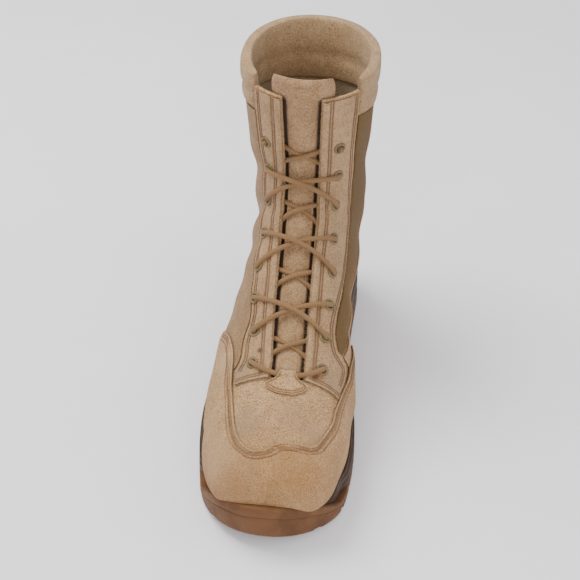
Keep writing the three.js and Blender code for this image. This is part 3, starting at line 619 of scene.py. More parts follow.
def stitch_template():
    """One stitch as a short bent tube: its points and faces, for a length and a thickness of 1."""
    rings = [(-0.5, 0.2, -0.42), (-0.4, 0.8, -0.12), (-0.2, 1.0, 0.08),
             (0.2, 1.0, 0.08), (0.4, 0.8, -0.12), (0.5, 0.2, -0.42)]
    sides = 6
    points = []
    for along, size, up in rings:
        for k in range(sides):
            turn = 2 * math.pi * k / sides
            points.append((along, 0.5 * size * math.cos(turn), 0.5 * size * math.sin(turn) + up))
    faces = [tuple(range(sides))[::-1], tuple(range((len(rings) - 1) * sides, len(rings) * sides))]
    for r in range(len(rings) - 1):
        for k in range(sides):
            a, b = r * sides + k, r * sides + (k + 1) % sides
            faces.append((a, b, b + sides, a + sides))
    return np.array(points), faces


def sew(name, seams, material, seed, slot="suede"):
    """Rows of stitches along seams: each seam is its line of places and the lift it is sewn at."""
    chance = np.random.default_rng(seed)
    template, faces = stitch_template()
    vertices, every = [], []
    for line, lift in seams:
        spots = evened(line, STITCH_PITCH)
        height = lift + crease(spots[:, 0], spots[:, 1]) - TROUGH * 0.35
        points = place(spots[:, 0], spots[:, 1], height)
        out = way_out(spots[:, 0], spots[:, 1])
        for k in range(len(points) - 1):
            along = points[k + 1] - points[k]
            length = np.linalg.norm(along)
            along = along / length
            up = unit(out[k] - along * np.dot(out[k], along))
            side = np.cross(up, along)
            slant = chance.normal(0, 0.05)
            along = unit(along + side * slant)
            size = THREAD * chance.uniform(0.88, 1.08)
            middle = (points[k] + points[k + 1]) / 2 + side * chance.normal(0, 0.05)
            base = len(vertices) * len(template)
            vertices.append(middle + template[:, :1] * along * length * 0.9
                            + template[:, 1:2] * side * size + template[:, 2:] * up * size)
            every += [tuple(base + i for i in face) for face in faces]
    piece = joined(name, np.concatenate(vertices), every)
    return finish_piece(piece, slot, material)


def fray(name, edges, material, seed, slot):
    """Short fibres off raw edges: each edge is its line, its lift, its side and how many a millimetre."""
    chance = np.random.default_rng(seed)
    vertices, faces = [], []
    for line, lift, side, many in edges:
        spots = evened(line, 1.0 / many)
        points = place(spots[:, 0], spots[:, 1], lift + crease(spots[:, 0], spots[:, 1]))
        out = way_out(spots[:, 0], spots[:, 1])
        way = unit(np.gradient(points, axis=0))
        across = unit(np.cross(way, out)) * side
        for k in range(len(points)):
            lean = across[k] * chance.uniform(0.1, 1.0) + out[k] * chance.uniform(-0.4, 0.9)
            lean = unit(lean + way[k] * chance.normal(0, 0.6))
            curl = unit(np.cross(lean, chance.normal(0, 1, 3)))
            length, width = chance.uniform(0.5, 2.1), chance.uniform(0.06, 0.11)
            root = points[k] - out[k] * chance.uniform(0, OVERLAY) - across[k] * 0.15
            bend = chance.normal(0, 0.35)
            base = len(vertices) * 9
            rings = []
            second = np.cross(lean, curl)
            for t, size in ((0, 1.0), (0.55, 0.8), (1.0, 0.3)):
                middle = root + lean * length * t + curl * length * bend * t * t
                for turn in (0, 2.09, 4.19):
                    rings.append(middle + width * size * (math.cos(turn) * curl + math.sin(turn) * second))
            vertices.append(np.array(rings))
            for level in (0, 3):
                low = base + level
                for a in range(3):
                    b = (a + 1) % 3
                    faces.append((low + a, low + b, low + 3 + b, low + 3 + a))
            faces.append((base + 6, base + 7, base + 8))
    piece = joined(name, np.concatenate(vertices), faces)
    return finish_piece(piece, slot, material)


# Shader work

class Value:
    """A shader socket that takes part in sums; each operation adds its Math node."""

    def __init__(self, finish, socket):
        self.finish, self.socket = finish, socket

    def _with(self, operation, *others):
        return self.finish.node("ShaderNodeMath", {"operation": operation}, dict(enumerate(others)))

    def __add__(self, other):
        return self._with("ADD", self, other)

    def __radd__(self, other):
        return self._with("ADD", other, self)

    def __sub__(self, other):
        return self._with("SUBTRACT", self, other)

    def __rsub__(self, other):
        return self._with("SUBTRACT", other, self)

    def __mul__(self, other):
        return self._with("MULTIPLY", self, other)

    def __rmul__(self, other):
        return self._with("MULTIPLY", other, self)

    def sin(self):
        return self._with("SINE", self)

    def least(self, other):
        return self._with("MINIMUM", self, other)

    def between(self, low, high, out_low=0.0, out_high=1.0):
        return self.finish.node("ShaderNodeMapRange", {"interpolation_type": "SMOOTHSTEP"},
                                {0: self, 1: low, 2: high, 3: out_low, 4: out_high})


class Finish:
    """A material: a Principled shader and what feeds it."""

    def __init__(self, name, **constants):
        self.material = bpy.data.materials.new(name)
        self.material.use_nodes = True
        self.tree = self.material.node_tree
        self.tree.nodes.clear()
        self.shader = self.tree.nodes.new("ShaderNodeBsdfPrincipled")
        output = self.tree.nodes.new("ShaderNodeOutputMaterial")
        self.tree.links.new(self.shader.outputs[0], output.inputs[0])
        for key, value in constants.items():
            self.shader.inputs[key.replace("_", " ")].default_value = value
        self.object = self.node("ShaderNodeTexCoord", {}, {}, "Object")

    def node(self, kind, settings, sockets, output=0):
        """A node of a type, with its settings and with the values or links of its sockets."""
        made = self.tree.nodes.new(kind)
        for key, value in settings.items():
            setattr(made, key, value)
        for key, value in sockets.items():
            if isinstance(value, Value):
                self.tree.links.new(value.socket, made.inputs[key])
            else:
                made.inputs[key].default_value = value
        return Value(self, made.outputs[output])

    def noise(self, per_metre, detail=3.0, rough=0.55, stretch=None):
        vector = self.object
        if stretch:
            vector = self.node("ShaderNodeMapping", {}, {"Vector": vector, "Scale": stretch})
        sockets = {"Vector": vector, "Scale": per_metre, "Detail": detail, "Roughness": rough}
        return self.node("ShaderNodeTexNoise", {}, sockets)

    def attribute(self, name):
        return self.node("ShaderNodeAttribute", {"attribute_name": name}, {}, "Fac")

    def mix(self, share, first, second):
        made = self.tree.nodes.new("ShaderNodeMix")
        made.data_type = "RGBA"
        for index, value in ((0, share), (6, first), (7, second)):
            if isinstance(value, Value):
                self.tree.links.new(value.socket, made.inputs[index])
            else:
                made.inputs[index].default_value = value if isinstance(value, float) else (*value, 1)
        return Value(self, made.outputs[2])

    def apart(self):
        made = self.tree.nodes.new("ShaderNodeSeparateXYZ")
        self.tree.links.new(self.object.socket, made.inputs[0])
        return [Value(self, socket) for socket in made.outputs]

    def feed(self, **sockets):
        for key, value in sockets.items():
            self.tree.links.new(value.socket, self.shader.inputs[key.replace("_", " ")])

    def bump(self, height, strength, distance):
        sockets = {"Height": height, "Strength": strength, "Distance": distance}
        self.feed(Normal=self.node("ShaderNodeBump", {}, sockets))


# Stains, and on the vamp also painted shade marks: section, angle, radius in millimetres, strength, colour
VAMP_STAINS_AND_SHADE = [
    (4.45, -27, 19, 0.6, (0.22, 0.15, 0.095)), (2.6, 14, 26, 0.55, (0.25, 0.115, 0.032)),
    (4.75, 4, 20, 0.5, (0.24, 0.15, 0.08)), (4.2, 28, 15, 0.4, (0.25, 0.165, 0.1)),
    (2.0, -30, 22, 0.45, (0.23, 0.125, 0.052)), (1.2, 10, 14, 0.35, (0.2, 0.1, 0.035)),
    (6.9, -52, 16, 0.35, (0.46, 0.35, 0.23)), (3.3, -60, 20, 0.3, (0.45, 0.33, 0.2)),
]
FACING_STAINS = [
    (6.19, 22, 4.4, 0.95, (0.09, 0.026, 0.01)), (6.24, 27, 2.8, 0.8, (0.30, 0.085, 0.025)),
    (6.85, -21.5, 3.4, 0.95, (0.04, 0.018, 0.008)),
    (6.2, -36, 11, 0.45, (0.25, 0.18, 0.12)), (6.3, 38, 10, 0.4, (0.25, 0.17, 0.11)),
    (8.9, -22, 12, 0.35, (0.27, 0.15, 0.08)),
]


def suede(name, light, dark, dark_dirt_and_shade, grain=1.0, rims=True, dirt_and_low_shade=1.0, stains_and_shade=(), stain_lift=0.5, throat_shade=False):
    """Napped suede: light tips over a darker ground, brushed patches, browner and dirtier at the toe front,
    painted shade low near the sole, in seam troughs, at cut edges and on the tongue under the facings.
    """
    made = Finish(name, Sheen_Weight=0.08, Sheen_Roughness=0.6, Specular_IOR_Level=0.12)
    _, y, z = made.apart()
    pale = made.mix(0.45 * grain, light, (0.86, 0.66, 0.42))
    patches = made.noise(30, 4, 0.6)
    brushed = made.noise(150, 3, 0.6, stretch=(1.0, 0.55, 1.0))
    nap = made.noise(760, 4, 0.75)
    tips = made.noise(1700, 3, 0.7)
    colour = made.mix(nap.between(0.38, 0.62), dark, light)
    colour = made.mix(brushed.between(0.42, 0.7, 0.0, 0.32), colour, pale)
    colour = made.mix(patches.between(0.38, 0.66, 0.0, 0.4), colour, made.mix(0.6, dark, dark_dirt_and_shade))
    colour = made.mix(tips.between(0.52, 0.62, 0.0, 0.85) * grain, colour, pale)
    shade = made.mix(0.6, dark_dirt_and_shade, (0.07, 0.034, 0.014))
    colour = made.mix(tips.between(0.49, 0.38, 0.0, 0.7) * grain, colour, shade)
    # Browner dirt towards the toe front, and painted shade low near the sole.
    low = z.between(0.085, 0.030)
    front = y.between(-0.07, -0.155)
    toe_dirt_and_low_shade = (low * 0.35 + front * 0.65) * made.noise(70, 4, 0.6).between(0.1, 0.75, 0.45, 1.0) * dirt_and_low_shade
    toe_dirt_and_low_shade_colour = made.mix(tips.between(0.35, 0.65), dark_dirt_and_shade, made.mix(0.5, light, dark_dirt_and_shade))
    colour = made.mix(toe_dirt_and_low_shade.least(0.8), colour, toe_dirt_and_low_shade_colour)
    specks = made.noise(480, 2, 0.5).between(0.70, 0.76)
    colour = made.mix(specks * 0.55, colour, made.mix(0.5, dark_dirt_and_shade, (0.12, 0.06, 0.03)))
    # Stains, and on the vamp also painted shade marks, each a soft round patch.
    for section, degrees, radius, strength, tint in stains_and_shade:
        centre = tuple((place(section, degrees, stain_lift) + SHIFT) / 1000)
        away = made.node("ShaderNodeVectorMath", {"operation": "DISTANCE"}, {0: made.object, 1: centre}, 1)
        edge = away + (brushed - 0.5) * (radius * 0.0011)
        share = edge.between(radius / 1000, radius / 4000, 0.0, strength)
        colour = made.mix(share, colour, made.mix(tips.between(0.35, 0.65, 0.0, 0.4), tint, light))
    # Painted shade on the tongue where it passes under the facings' edges.
    if throat_shade:
        colour = made.mix(made.attribute("throat_shade"), colour, (0.035, 0.018, 0.008))
    if rims:
        # Painted shade in the pressed seam troughs.
        seam = made.attribute("seam").between(1.1, 0.15, 0.0, 0.75)
        edge = made.attribute("rim")
        colour = made.mix(seam, colour, made.mix(0.35, dark_dirt_and_shade, (0.1, 0.05, 0.02)))
        raw = edge.between(1.3, 0.3) * tips.between(0.4, 0.6)
        colour = made.mix(raw * 0.12, colour, pale)
        # Painted shade along the panels' cut edges.
        edge_shade = edge.between(0.35, 0.05, 0.0, 0.85)
        colour = made.mix(edge_shade, colour, made.mix(0.5, dark_dirt_and_shade, (0.07, 0.035, 0.015)))
    made.feed(Base_Color=colour, Roughness=nap.between(0.3, 0.7, 0.86, 0.98))
    made.bump(nap * 0.5 + tips * 0.5 + brushed * 0.5, 0.95 * grain, 0.0014)
    return made.material


def thread_finish():
    """Brown thread, bleached in places."""
    made = Finish("sewing_thread", Sheen_Weight=0.2, Specular_IOR_Level=0.3)
    colour = made.mix(made.noise(900, 3).between(0.35, 0.65), (0.115, 0.056, 0.026), (0.22, 0.115, 0.052))
    colour = made.mix(made.noise(45, 2).between(0.55, 0.7), colour, (0.30, 0.17, 0.08))
    made.feed(Base_Color=colour, Roughness=made.noise(700).between(0.3, 0.7, 0.7, 0.9))
    made.bump(made.noise(2600, 2), 0.5, 0.0002)
    return made.material


def lining_finish():
    """Plain woven cloth, worn darker in patches."""
    made = Finish("woven_lining", Sheen_Weight=0.08, Specular_IOR_Level=0.12)
    x, y, z = made.apart()
    weave = ((x * 3800).sin() * (z * 3800).sin() + (y * 3800).sin() * (z * 1900).sin()) * 0.5
    colour = made.mix(weave.between(-0.6, 0.6), (0.23, 0.165, 0.10), (0.38, 0.285, 0.185))
    colour = made.mix(made.noise(30, 3).between(0.4, 0.7, 0.0, 0.5), colour, (0.20, 0.14, 0.085))
    made.feed(Base_Color=colour, Roughness=made.noise(300).between(0.3, 0.7, 0.85, 0.98))
    made.bump(weave * 0.6 + made.noise(900) * 0.4, 0.5, 0.0004)
    return made.material


def webbing_finish():
    """Olive brown cloth, with painted shade between its ribs."""
    made = Finish("ribbed_webbing", Sheen_Weight=0.04, Sheen_Roughness=0.6, Specular_IOR_Level=0.1)
    ridge = made.attribute("ridge")
    fine = made.noise(2400, 3, 0.6, stretch=(1, 1, 0.35))
    # Painted shade in the grooves between the ribs.
    colour = made.mix(ridge.between(0.15, 0.9), (0.030, 0.017, 0.006), (0.185, 0.108, 0.042))
    colour = made.mix(fine.between(0.4, 0.65, 0.0, 0.5), colour, (0.18, 0.108, 0.042))
    colour = made.mix(made.noise(40, 3).between(0.45, 0.7, 0.0, 0.4), colour, (0.12, 0.072, 0.032))
    made.feed(Base_Color=colour, Roughness=fine.between(0.3, 0.7, 0.75, 0.92))
    made.bump(fine, 0.5, 0.0003)
    return made.material


def rubber(name, main, dark, pale, scuffed):
    """Matte moulded rubber with soft stain patches, fine scuffs and painted shade along its lower edge, near
    the floor.
    """
    made = Finish(name, Specular_IOR_Level=0.22)
    height = made.apart()[2]
    cloud = made.noise(36, 4, 0.55)
    stain = made.noise(110, 4, 0.6)
    colour = made.mix(cloud.between(0.35, 0.68), main, dark)
    colour = made.mix(stain.between(0.5, 0.74, 0.0, 0.4), colour, pale)
    scratch = made.noise(330, 3, 0.6, stretch=(0.3, 0.3, 1.4)).between(0.61, 0.70)
    patch = made.noise(40, 2, 0.5).between(0.52, 0.66)
    colour = made.mix(scratch * patch * 0.5, colour, pale)
    # Painted shade along the lowest few millimetres, near the floor.
    colour = made.mix(height.between(0.0065, 0.0015, 0.0, 0.45), colour, dark)
    fleck = made.noise(800, 2, 0.5).between(0.66, 0.74)
    colour = made.mix(fleck * 0.3, colour, (0.12, 0.07, 0.045))
    made.feed(Base_Color=colour, Roughness=cloud.between(0.35, 0.65, 0.5, 0.66) + scratch * 0.15)
    made.bump(cloud * 0.3 + made.noise(1300, 3) * 0.15 - scratch * 0.2 * scuffed, 0.35, 0.0006)
    return made.material


def paint_finish():
    """Drab painted metal, rubbed pale in spots."""
    made = Finish("eyelet_paint", Metallic=0.0, Specular_IOR_Level=0.3)
    wear = made.noise(420, 4, 0.65)
    colour = made.mix(made.noise(160, 3).between(0.35, 0.7), (0.175, 0.126, 0.056), (0.12, 0.088, 0.04))
    colour = made.mix(wear.between(0.62, 0.7, 0.0, 0.8), colour, (0.34, 0.26, 0.16))
    made.feed(Base_Color=colour, Roughness=wear.between(0.3, 0.7, 0.46, 0.66))
    made.bump(wear, 0.25, 0.0002)
    return made.material


def lace_finish():
    """Tan braid, with painted shade where its strands dip."""
    made = Finish("braided_lace", Sheen_Weight=0.1, Specular_IOR_Level=0.15)
    braid = made.attribute("braid")
    # Painted shade in the dips between the strands.
    colour = made.mix(braid.between(0.1, 0.85), (0.075, 0.039, 0.016), (0.235, 0.13, 0.055))
    fine = made.noise(1700, 3, 0.65)
    colour = made.mix(fine.between(0.4, 0.66, 0.0, 0.4), colour, (0.30, 0.18, 0.085))
    colour = made.mix(made.noise(55, 3).between(0.48, 0.7, 0.0, 0.4), colour, (0.17, 0.092, 0.04))
    made.feed(Base_Color=colour, Roughness=fine.between(0.3, 0.7, 0.78, 0.95))
    made.bump(fine, 0.5, 0.0003)
    return made.material


def fibre_finish():
    """Loose leather fibres."""
    made = Finish("loose_fibre", Sheen_Weight=0.1, Specular_IOR_Level=0.15)
    colour = made.mix(made.noise(500, 2).between(0.35, 0.65), (0.34, 0.20, 0.095), (0.58, 0.40, 0.22))
    made.feed(Base_Color=colour, Roughness=made.noise(900).between(0.3, 0.7, 0.85, 0.98))
    return made.material


SUEDE = suede("napped_suede", (0.62, 0.365, 0.168), (0.27, 0.148, 0.058), (0.235, 0.112, 0.036),
              stains_and_shade=VAMP_STAINS_AND_SHADE)
FACING = suede("facing_suede", (0.42, 0.258, 0.13), (0.27, 0.155, 0.072), (0.19, 0.10, 0.042),
               grain=0.75, dirt_and_low_shade=0.6, stains_and_shade=FACING_STAINS, stain_lift=OVERLAY_TOP + 0.5)
SMOOTH = suede("fine_suede", (0.29, 0.17, 0.08), (0.19, 0.107, 0.048), (0.15, 0.078, 0.034), grain=0.5)
COLLAR_SUEDE = suede("collar_suede", (0.40, 0.26, 0.135), (0.25, 0.15, 0.07), (0.2, 0.11, 0.05),
                     grain=0.6, rims=False, dirt_and_low_shade=0.3)
TONGUE_SUEDE = suede("tongue_suede", (0.37, 0.22, 0.108), (0.235, 0.132, 0.06), (0.16, 0.082, 0.034),
                     grain=0.7, rims=False, dirt_and_low_shade=0.0, throat_shade=True)
THREAD_FINISH = thread_finish()
LINING = lining_finish()
WEBBING_FINISH = webbing_finish()
GUM = rubber("gum_rubber", (0.126, 0.052, 0.016), (0.09, 0.038, 0.014), (0.18, 0.09, 0.034), 1.0)
# Dark brown midsole colours, darkened further to paint the shade under the upper's overhang.
FOAM_WITH_PAINTED_SHADE = rubber("moulded_midsole_painted_shade", (0.046, 0.023, 0.011), (0.029, 0.015, 0.008), (0.08, 0.043, 0.022), 0.7)
PAINT = paint_finish()
BRAID = lace_finish()
FIBRE = fibre_finish()

# Edges and seams of the panels

def eyelet_turn(section):
    """Angle of the eyelets' line."""
    return straight(EYELET_LINE, section, 1)


def eyelet_sections():
    """Sections of the eyelets, at an even pitch along their line."""
    at = np.arange(FIRST_EYELET, UPPER_TOP, 0.005)
    points = on_last(at, eyelet_turn(at))
    way = way_along(points)
    return np.interp(np.arange(EYELET_ROWS) * EYELET_PITCH, way, at)


ROWS = eyelet_sections()
HOLES = {side: [tuple(on_last(s, side * eyelet_turn(s))) for s in ROWS] for side in (1, -1)}


def throat_half(section):
    """Half the throat's opening; it closes in a round end at the vamp."""
    opening = straight(THROAT, section, 1)
    return opening * np.sqrt(np.clip((section - THROAT_START) / THROAT_ROUND, 0, 1))


def lap_lift(section, degrees):
    """How far the toe guard's wings rise over the quarters."""
    start = np.where(degrees < 0, LATERAL_LAP, MEDIAL_LAP)
    return LAP * ramp(section, start - LAP_RAMP, start - 0.1)


GUARD_EDGE = line_of(GUARD)
GUARD_FOOT = line_of(GUARD, 2, 3)
GUARD_SEAMS = [moved(evened(GUARD_EDGE, 1.0), -inset) for inset in (2.0, 3.9, 6.6)]


def facing_lines(side):
    """Throat edge and outer edge of a facing."""
    at = through(THROAT, np.linspace(0, len(THROAT) - 1, 360))
    at = at[at[:, 0] <= UPPER_TOP]
    inner = np.stack([at[:, 0], side * at[:, 1]], 1)
    outer = np.stack([at[:, 0], side * at[:, FACINGS[side][0]]], 1)
    return inner, outer


def facing_lip(side, start, end):
    """Lower edge of a facing between two shares of its width."""
    inner, outer = facing_lines(side)
    return inner[0] + (outer[0] - inner[0]) * np.linspace(start, end, 60)[:, None]


def seam_inside(line, distance, side, start):
    """A seam along an edge, at a distance inside it, from a section upwards."""
    line = evened(line, 1.0)
    line = line[line[:, 0] >= start]
    return moved(line, side * distance)


# The pieces

def make_upper():
    """The shell: one skin from the sole up to the collar, open down the throat, with its lining inside."""
    ankle = 13
    sections = np.concatenate([
        np.linspace(0, 3, 32)[:-1],
        np.linspace(3, THROAT_START, 50)[:-1],
        THROAT_START + THROAT_ROUND * np.linspace(0, 1, 9)[:-1] ** 2,
        np.linspace(THROAT_START + THROAT_ROUND, ankle, 80)[:-1],
        np.linspace(ankle, UPPER_TOP, 60),
    ])
    half = throat_half(sections)[:, None]
    degrees = half + (360 - 2 * half) * np.linspace(0, 1, 165)[None, :]
    section = np.broadcast_to(sections[:, None], degrees.shape)
    out = way_out(section, degrees)
    points = on_last(section, degrees) + out * crease(section, degrees)[..., None]
    piece, row, column = skin("upper_shell", points, out)
    store(piece, "rim", np.full(len(row), FAR))
    store(piece, "seam", np.full(len(row), FAR))
    flat = np.zeros(len(row) * 3)
    piece.data.vertices.foreach_get("co", flat)
    spots = flat.reshape(-1, 3) * 1000 - SHIFT
    clear = nearest(spots, np.array(HOLES[1] + HOLES[-1]))
    drop_faces(piece, (spots[:, 2] > footbed(spots[:, 1]) + GAP) & (clear > HOLE_RADIUS))
    weld(piece)
    piece.data.materials.append(SUEDE)
    piece.data.materials.append(LINING)
    thicken(piece, WALL, lining=1)
    return finish_piece(piece, "suede", replaces=["upper"])


def make_toe_guard():
    """Overlay round the toe; its wings rise over the quarters."""
    grid = between(GUARD_EDGE, GUARD_FOOT, 1.25, 1.25, tuck=True)
    panel("toe_guard_suede", grid, OVERLAY_TOP, OVERLAY, SUEDE, ["toe_guard"], seams=GUARD_SEAMS,
          lift=lap_lift(*grid), wavy=0.05)
    rise = [lap_lift(*evened(line, STITCH_PITCH).T) for line in GUARD_SEAMS]
    return [(line, OVERLAY_TOP + lift) for line, lift in zip(GUARD_SEAMS, rise)]


def make_facings():
    """Facings with a rolled throat edge, a raised lip and holes for the eyelets."""
    seams = []
    for side, (_, name, outer_seams) in FACINGS.items():
        inner, outer = facing_lines(side)
        grid = between(inner, outer, 1.0, 0.8)
        rows = [seam_inside(inner, -inset, side, 6.02) for inset in THROAT_SEAMS]
        rows += [seam_inside(outer, inset, side, 6.4) for inset in outer_seams]
        lip = evened(facing_lip(side, 0.08, 0.98), 1.0)
        rows += [moved(lip, side * inset) for inset in LIP_SEAMS]
        lip_rise = 0.55 * hump(grid[0] - THROAT_START, THROAT_ROUND)
        roll = 0.9 * hump(np.abs(grid[1]) - straight(THROAT, grid[0], 1) - 3.0, 2.6)
        panel(name + "_suede", grid, OVERLAY_TOP, OVERLAY, FACING, [name], seams=rows, slot="facing",
              holes=HOLES[side], wavy=0.2, lift=lip_rise + roll)
        seams += [(row, OVERLAY_TOP) for row in rows]
    return seams


def make_quarters():
    """Rear panels; the medial one has a rolled, sewn front edge over the webbing."""
    def grid_of(rows, side):
        front = line_of(rows, 0, 1, side)
        back = through(rows, np.linspace(0, len(rows) - 1, len(front)))
        seam = np.stack([back[:, 2], np.full(len(front), side * BACK_SEAM)], 1)
        return front, between(front, seam, 1.5, 1.6)

    front, grid = grid_of(MEDIAL_QUARTER, 1)
    sewn = seam_inside(front[len(front) // 3:], 3.2, 1, 7.5)
    roll = 0.5 * hump(grid[1] - np.interp(grid[0], front[:, 0], front[:, 1]) - 1.6, 1.8)
    panel("quarter_medial_suede", grid, QUARTER_TOP, QUARTER, SUEDE, ["quarter_medial"], seams=[sewn],
          lift=roll)
    grid = grid_of(LATERAL_QUARTER, -1)[1]
    panel("quarter_lateral_suede", grid, QUARTER_TOP, QUARTER, SMOOTH, ["quarter_lateral"])
    return [(sewn, QUARTER_TOP)]


def make_vent():
    """Webbing with ribs across it."""
    across = 9
    front, rear = line_of(VENT), line_of(VENT, 0, 2)
    middle = (front + rear) / 2
    points = on_last(middle[:, 0], middle[:, 1])
    way = way_along(points)
    at = np.arange(0, way[-1], RIB_PITCH / 6)
    a = resampled(front, way, at)
    b = resampled(rear, way, at)
    grid = a[:, None] + (b - a)[:, None] * np.linspace(0, 1, across)[None, :, None]
    s, g = grid[..., 0], grid[..., 1]
    rib = 0.5 + 0.5 * np.cos(2 * np.pi * at / RIB_PITCH)[:, None] * np.ones(across)
    height = GAP + WEBBING - 0.25 + 0.3 * rib + crease(s, g)
    out = way_out(s, g)
    points = on_last(s, g) + out * height[..., None]
    piece, row, column = skin("side_webbing", points)
    if inside_out(points, out):
        edit(piece, bpy.ops.mesh.flip_normals)
    store(piece, "ridge", rib[row, column])
    thicken(piece, WEBBING * 0.8)
    return finish_piece(piece, "webbing", WEBBING_FINISH, replaces=["side_vent"])


def make_throat_tab():
    """Tab sewn to the vamp, which rises over the lace."""
    found = through(TAB, np.linspace(0, len(TAB) - 1, 90))
    left = np.stack([found[:, 0], -found[:, 1]], 1)
    right = np.stack([found[:, 0], found[:, 1]], 1)
    grid = between(left, right, 0.6, 0.6)
    over_lace = 2.4 * hump(grid[0] - 6.05, 0.085)
    tip = -1.2 * ramp(grid[0], 6.1, 6.22)
    border = evened(np.concatenate([right, left[::-1]]), 0.8)
    rows = [moved(border[border[:, 0] < end], -inset) for inset, end in ((1.3, 6.16), (3.1, 5.68))]
    panel("throat_tab_suede", grid, OVERLAY_TOP, OVERLAY, SUEDE, ["throat_tab"], seams=rows,
          lift=over_lace + tip, trough=0.3)
    return [(row, OVERLAY_TOP) for row in rows]


def make_back_stay():
    """Strip over the back seam, with two rows of stitches along each edge."""
    at = np.linspace(STAY_FOOT, STAY_TOP, 120)
    left, right = (np.stack([at, np.full(len(at), 180.0 + turn)], 1) for turn in (-STAY_HALF, STAY_HALF))
    top = QUARTER_TOP + GAP + STAY
    rows = [moved(evened(left, 1.0), inset) for inset in (2.0, 4.0)]
    rows += [moved(evened(right, 1.0), -inset) for inset in (2.0, 4.0)]
    panel("back_stay_suede", between(left, right, 1.5, 1.0), top, STAY, SUEDE, ["back_stay"], seams=rows)
    return [(row, top) for row in rows]


def make_collar():
    """Padded roll over the shell's top edge, with one sewn channel."""
    around, sides = 300, 57
    start, stop = COLLAR_TURNS
    turn = np.linspace(start, stop, around)
    loop = np.linspace(0, 1, sides)
    up = np.where(loop < 0.5, 2 * loop, 2 - 2 * loop)
    section = COLLAR_FOOT + (COLLAR_END - COLLAR_FOOT) * (0.5 - 0.5 * np.cos(np.pi * up))
    full = np.sqrt(np.clip(1 - (2 * up - 1) ** 2, 0, 1)) * (1 - 0.42 * hump(up - 0.42, 0.07))
    puff = 0.25 + COLLAR_PAD * full
    lift = np.where(loop < 0.5, GAP + puff, -WALL - GAP - puff)
    ends = np.sqrt(np.clip(1 - np.abs(np.linspace(-1, 1, around)) ** 24, 0.02, 1))
    middle = -WALL / 2
    s = np.broadcast_to(section, (around, sides))
    g = np.broadcast_to(turn[:, None], (around, sides))
    ripple = 0.25 * np.sin(g / 7.0 + 2 * np.sin(g / 23.0)) * full
    height = middle + (lift - middle) * ends[:, None] + ripple * np.where(loop < 0.5, 1, -1)
    points = place(s, g, height)
    piece = skin("collar_pad", points, points - points.mean(axis=1, keepdims=True))[0]
    weld(piece)
    cap_ends(piece)
    finish_piece(piece, "collar", COLLAR_SUEDE, replaces=["collar"])
    channel = np.linspace(start + 2, stop - 2, 200)
    seam = np.stack([np.full(len(channel), COLLAR_FOOT + 0.34), channel], 1)
    return [(seam, GAP + 1.6)]


def lace_route():
    """Stops of the lace: section, angle and lift, from the medial top eyelet to the lateral one."""
    top = EYELET_ROWS - 1

    def hole(k, side, levels):
        s = ROWS[k]
        return [(s, side * eyelet_turn(s), lift) for lift in levels]

    def strand(k_from, k_to, side, raised):
        """From an eyelet on one side to the next row's on the other."""
        over = min(k_from, k_to) % 2 == 1
        stops = []
        for t in (0.14, 0.3, 0.42, 0.5, 0.58, 0.7, 0.86):
            s = ROWS[k_from] + (ROWS[k_to] - ROWS[k_from]) * t
            turn = side * (1 - 2 * t) * (eyelet_turn(ROWS[k_from]) * (1 - t) + eyelet_turn(ROWS[k_to]) * t)
            near = 1 - abs(2 * t - 1)
            if over:
                lift = 4.3 - 0.9 * math.sin(math.pi * near / 2) + (1.7 if raised else -1.5) * near ** 2.2
            else:
                lift = -3.7 + (3.9 if raised else 1.3) * near ** 1.2
            stops.append((s, turn, lift))
        return stops

    route = []
    side = 1
    route += hole(top, side, (6.5, 4.0, 1.0, -2.0))
    for k in range(top, 0, -1):
        over = (k - 1) % 2 == 1
        route += strand(k, k - 1, side, True)
        side = -side
        if k - 1 > 0 or not over:
            route += hole(k - 1, side, (3.4, 1.0, -1.6) if over else (-1.6, 1.0, 3.4))
    first = ROWS[0]
    bar = [(-0.1, 0.9, 4.3), (-0.24, 0.72, 3.7), (-0.36, 0.52, 3.3),
           (-0.43, 0.32, 2.2), (-0.45, 0.14, 0.6), (-0.455, 0, 0.1)]
    for down, share, lift in bar + [(d, -h, f) for d, h, f in bar[-2::-1]]:
        route.append((first + down, side * share * eyelet_turn(first), lift))
    side = -side
    route += hole(0, side, (3.4, 1.0, -1.6))
    for k in range(0, top):
        over = k % 2 == 1
        route += strand(k, k + 1, side, False)
        side = -side
        route += hole(k + 1, side, (3.4, 1.0, -1.6) if over else (-1.6, 1.0, 3.4))
    route += hole(top, side, (6.5,))
    return np.array(route)


def lace_path():
    """Points along the lace: a smooth curve through its stops, in even steps."""
    stops = lace_route()
    points = place(stops[:, 0], stops[:, 1], stops[:, 2])
    fine = through(points, np.linspace(0, len(points) - 1, len(points) * 14))
    kernel = np.hanning(13)[1:-1]
    kernel = kernel / kernel.sum()
    padded = np.pad(fine, ((5, 5), (0, 0)), mode="edge")
    smooth = np.stack([np.convolve(padded[:, k], kernel, mode="valid") for k in range(3)], 1)
    way = way_along(smooth)
    return resampled(smooth, way, np.arange(0, way[-1], LACE_STEP))


LACE_PATH = lace_path()


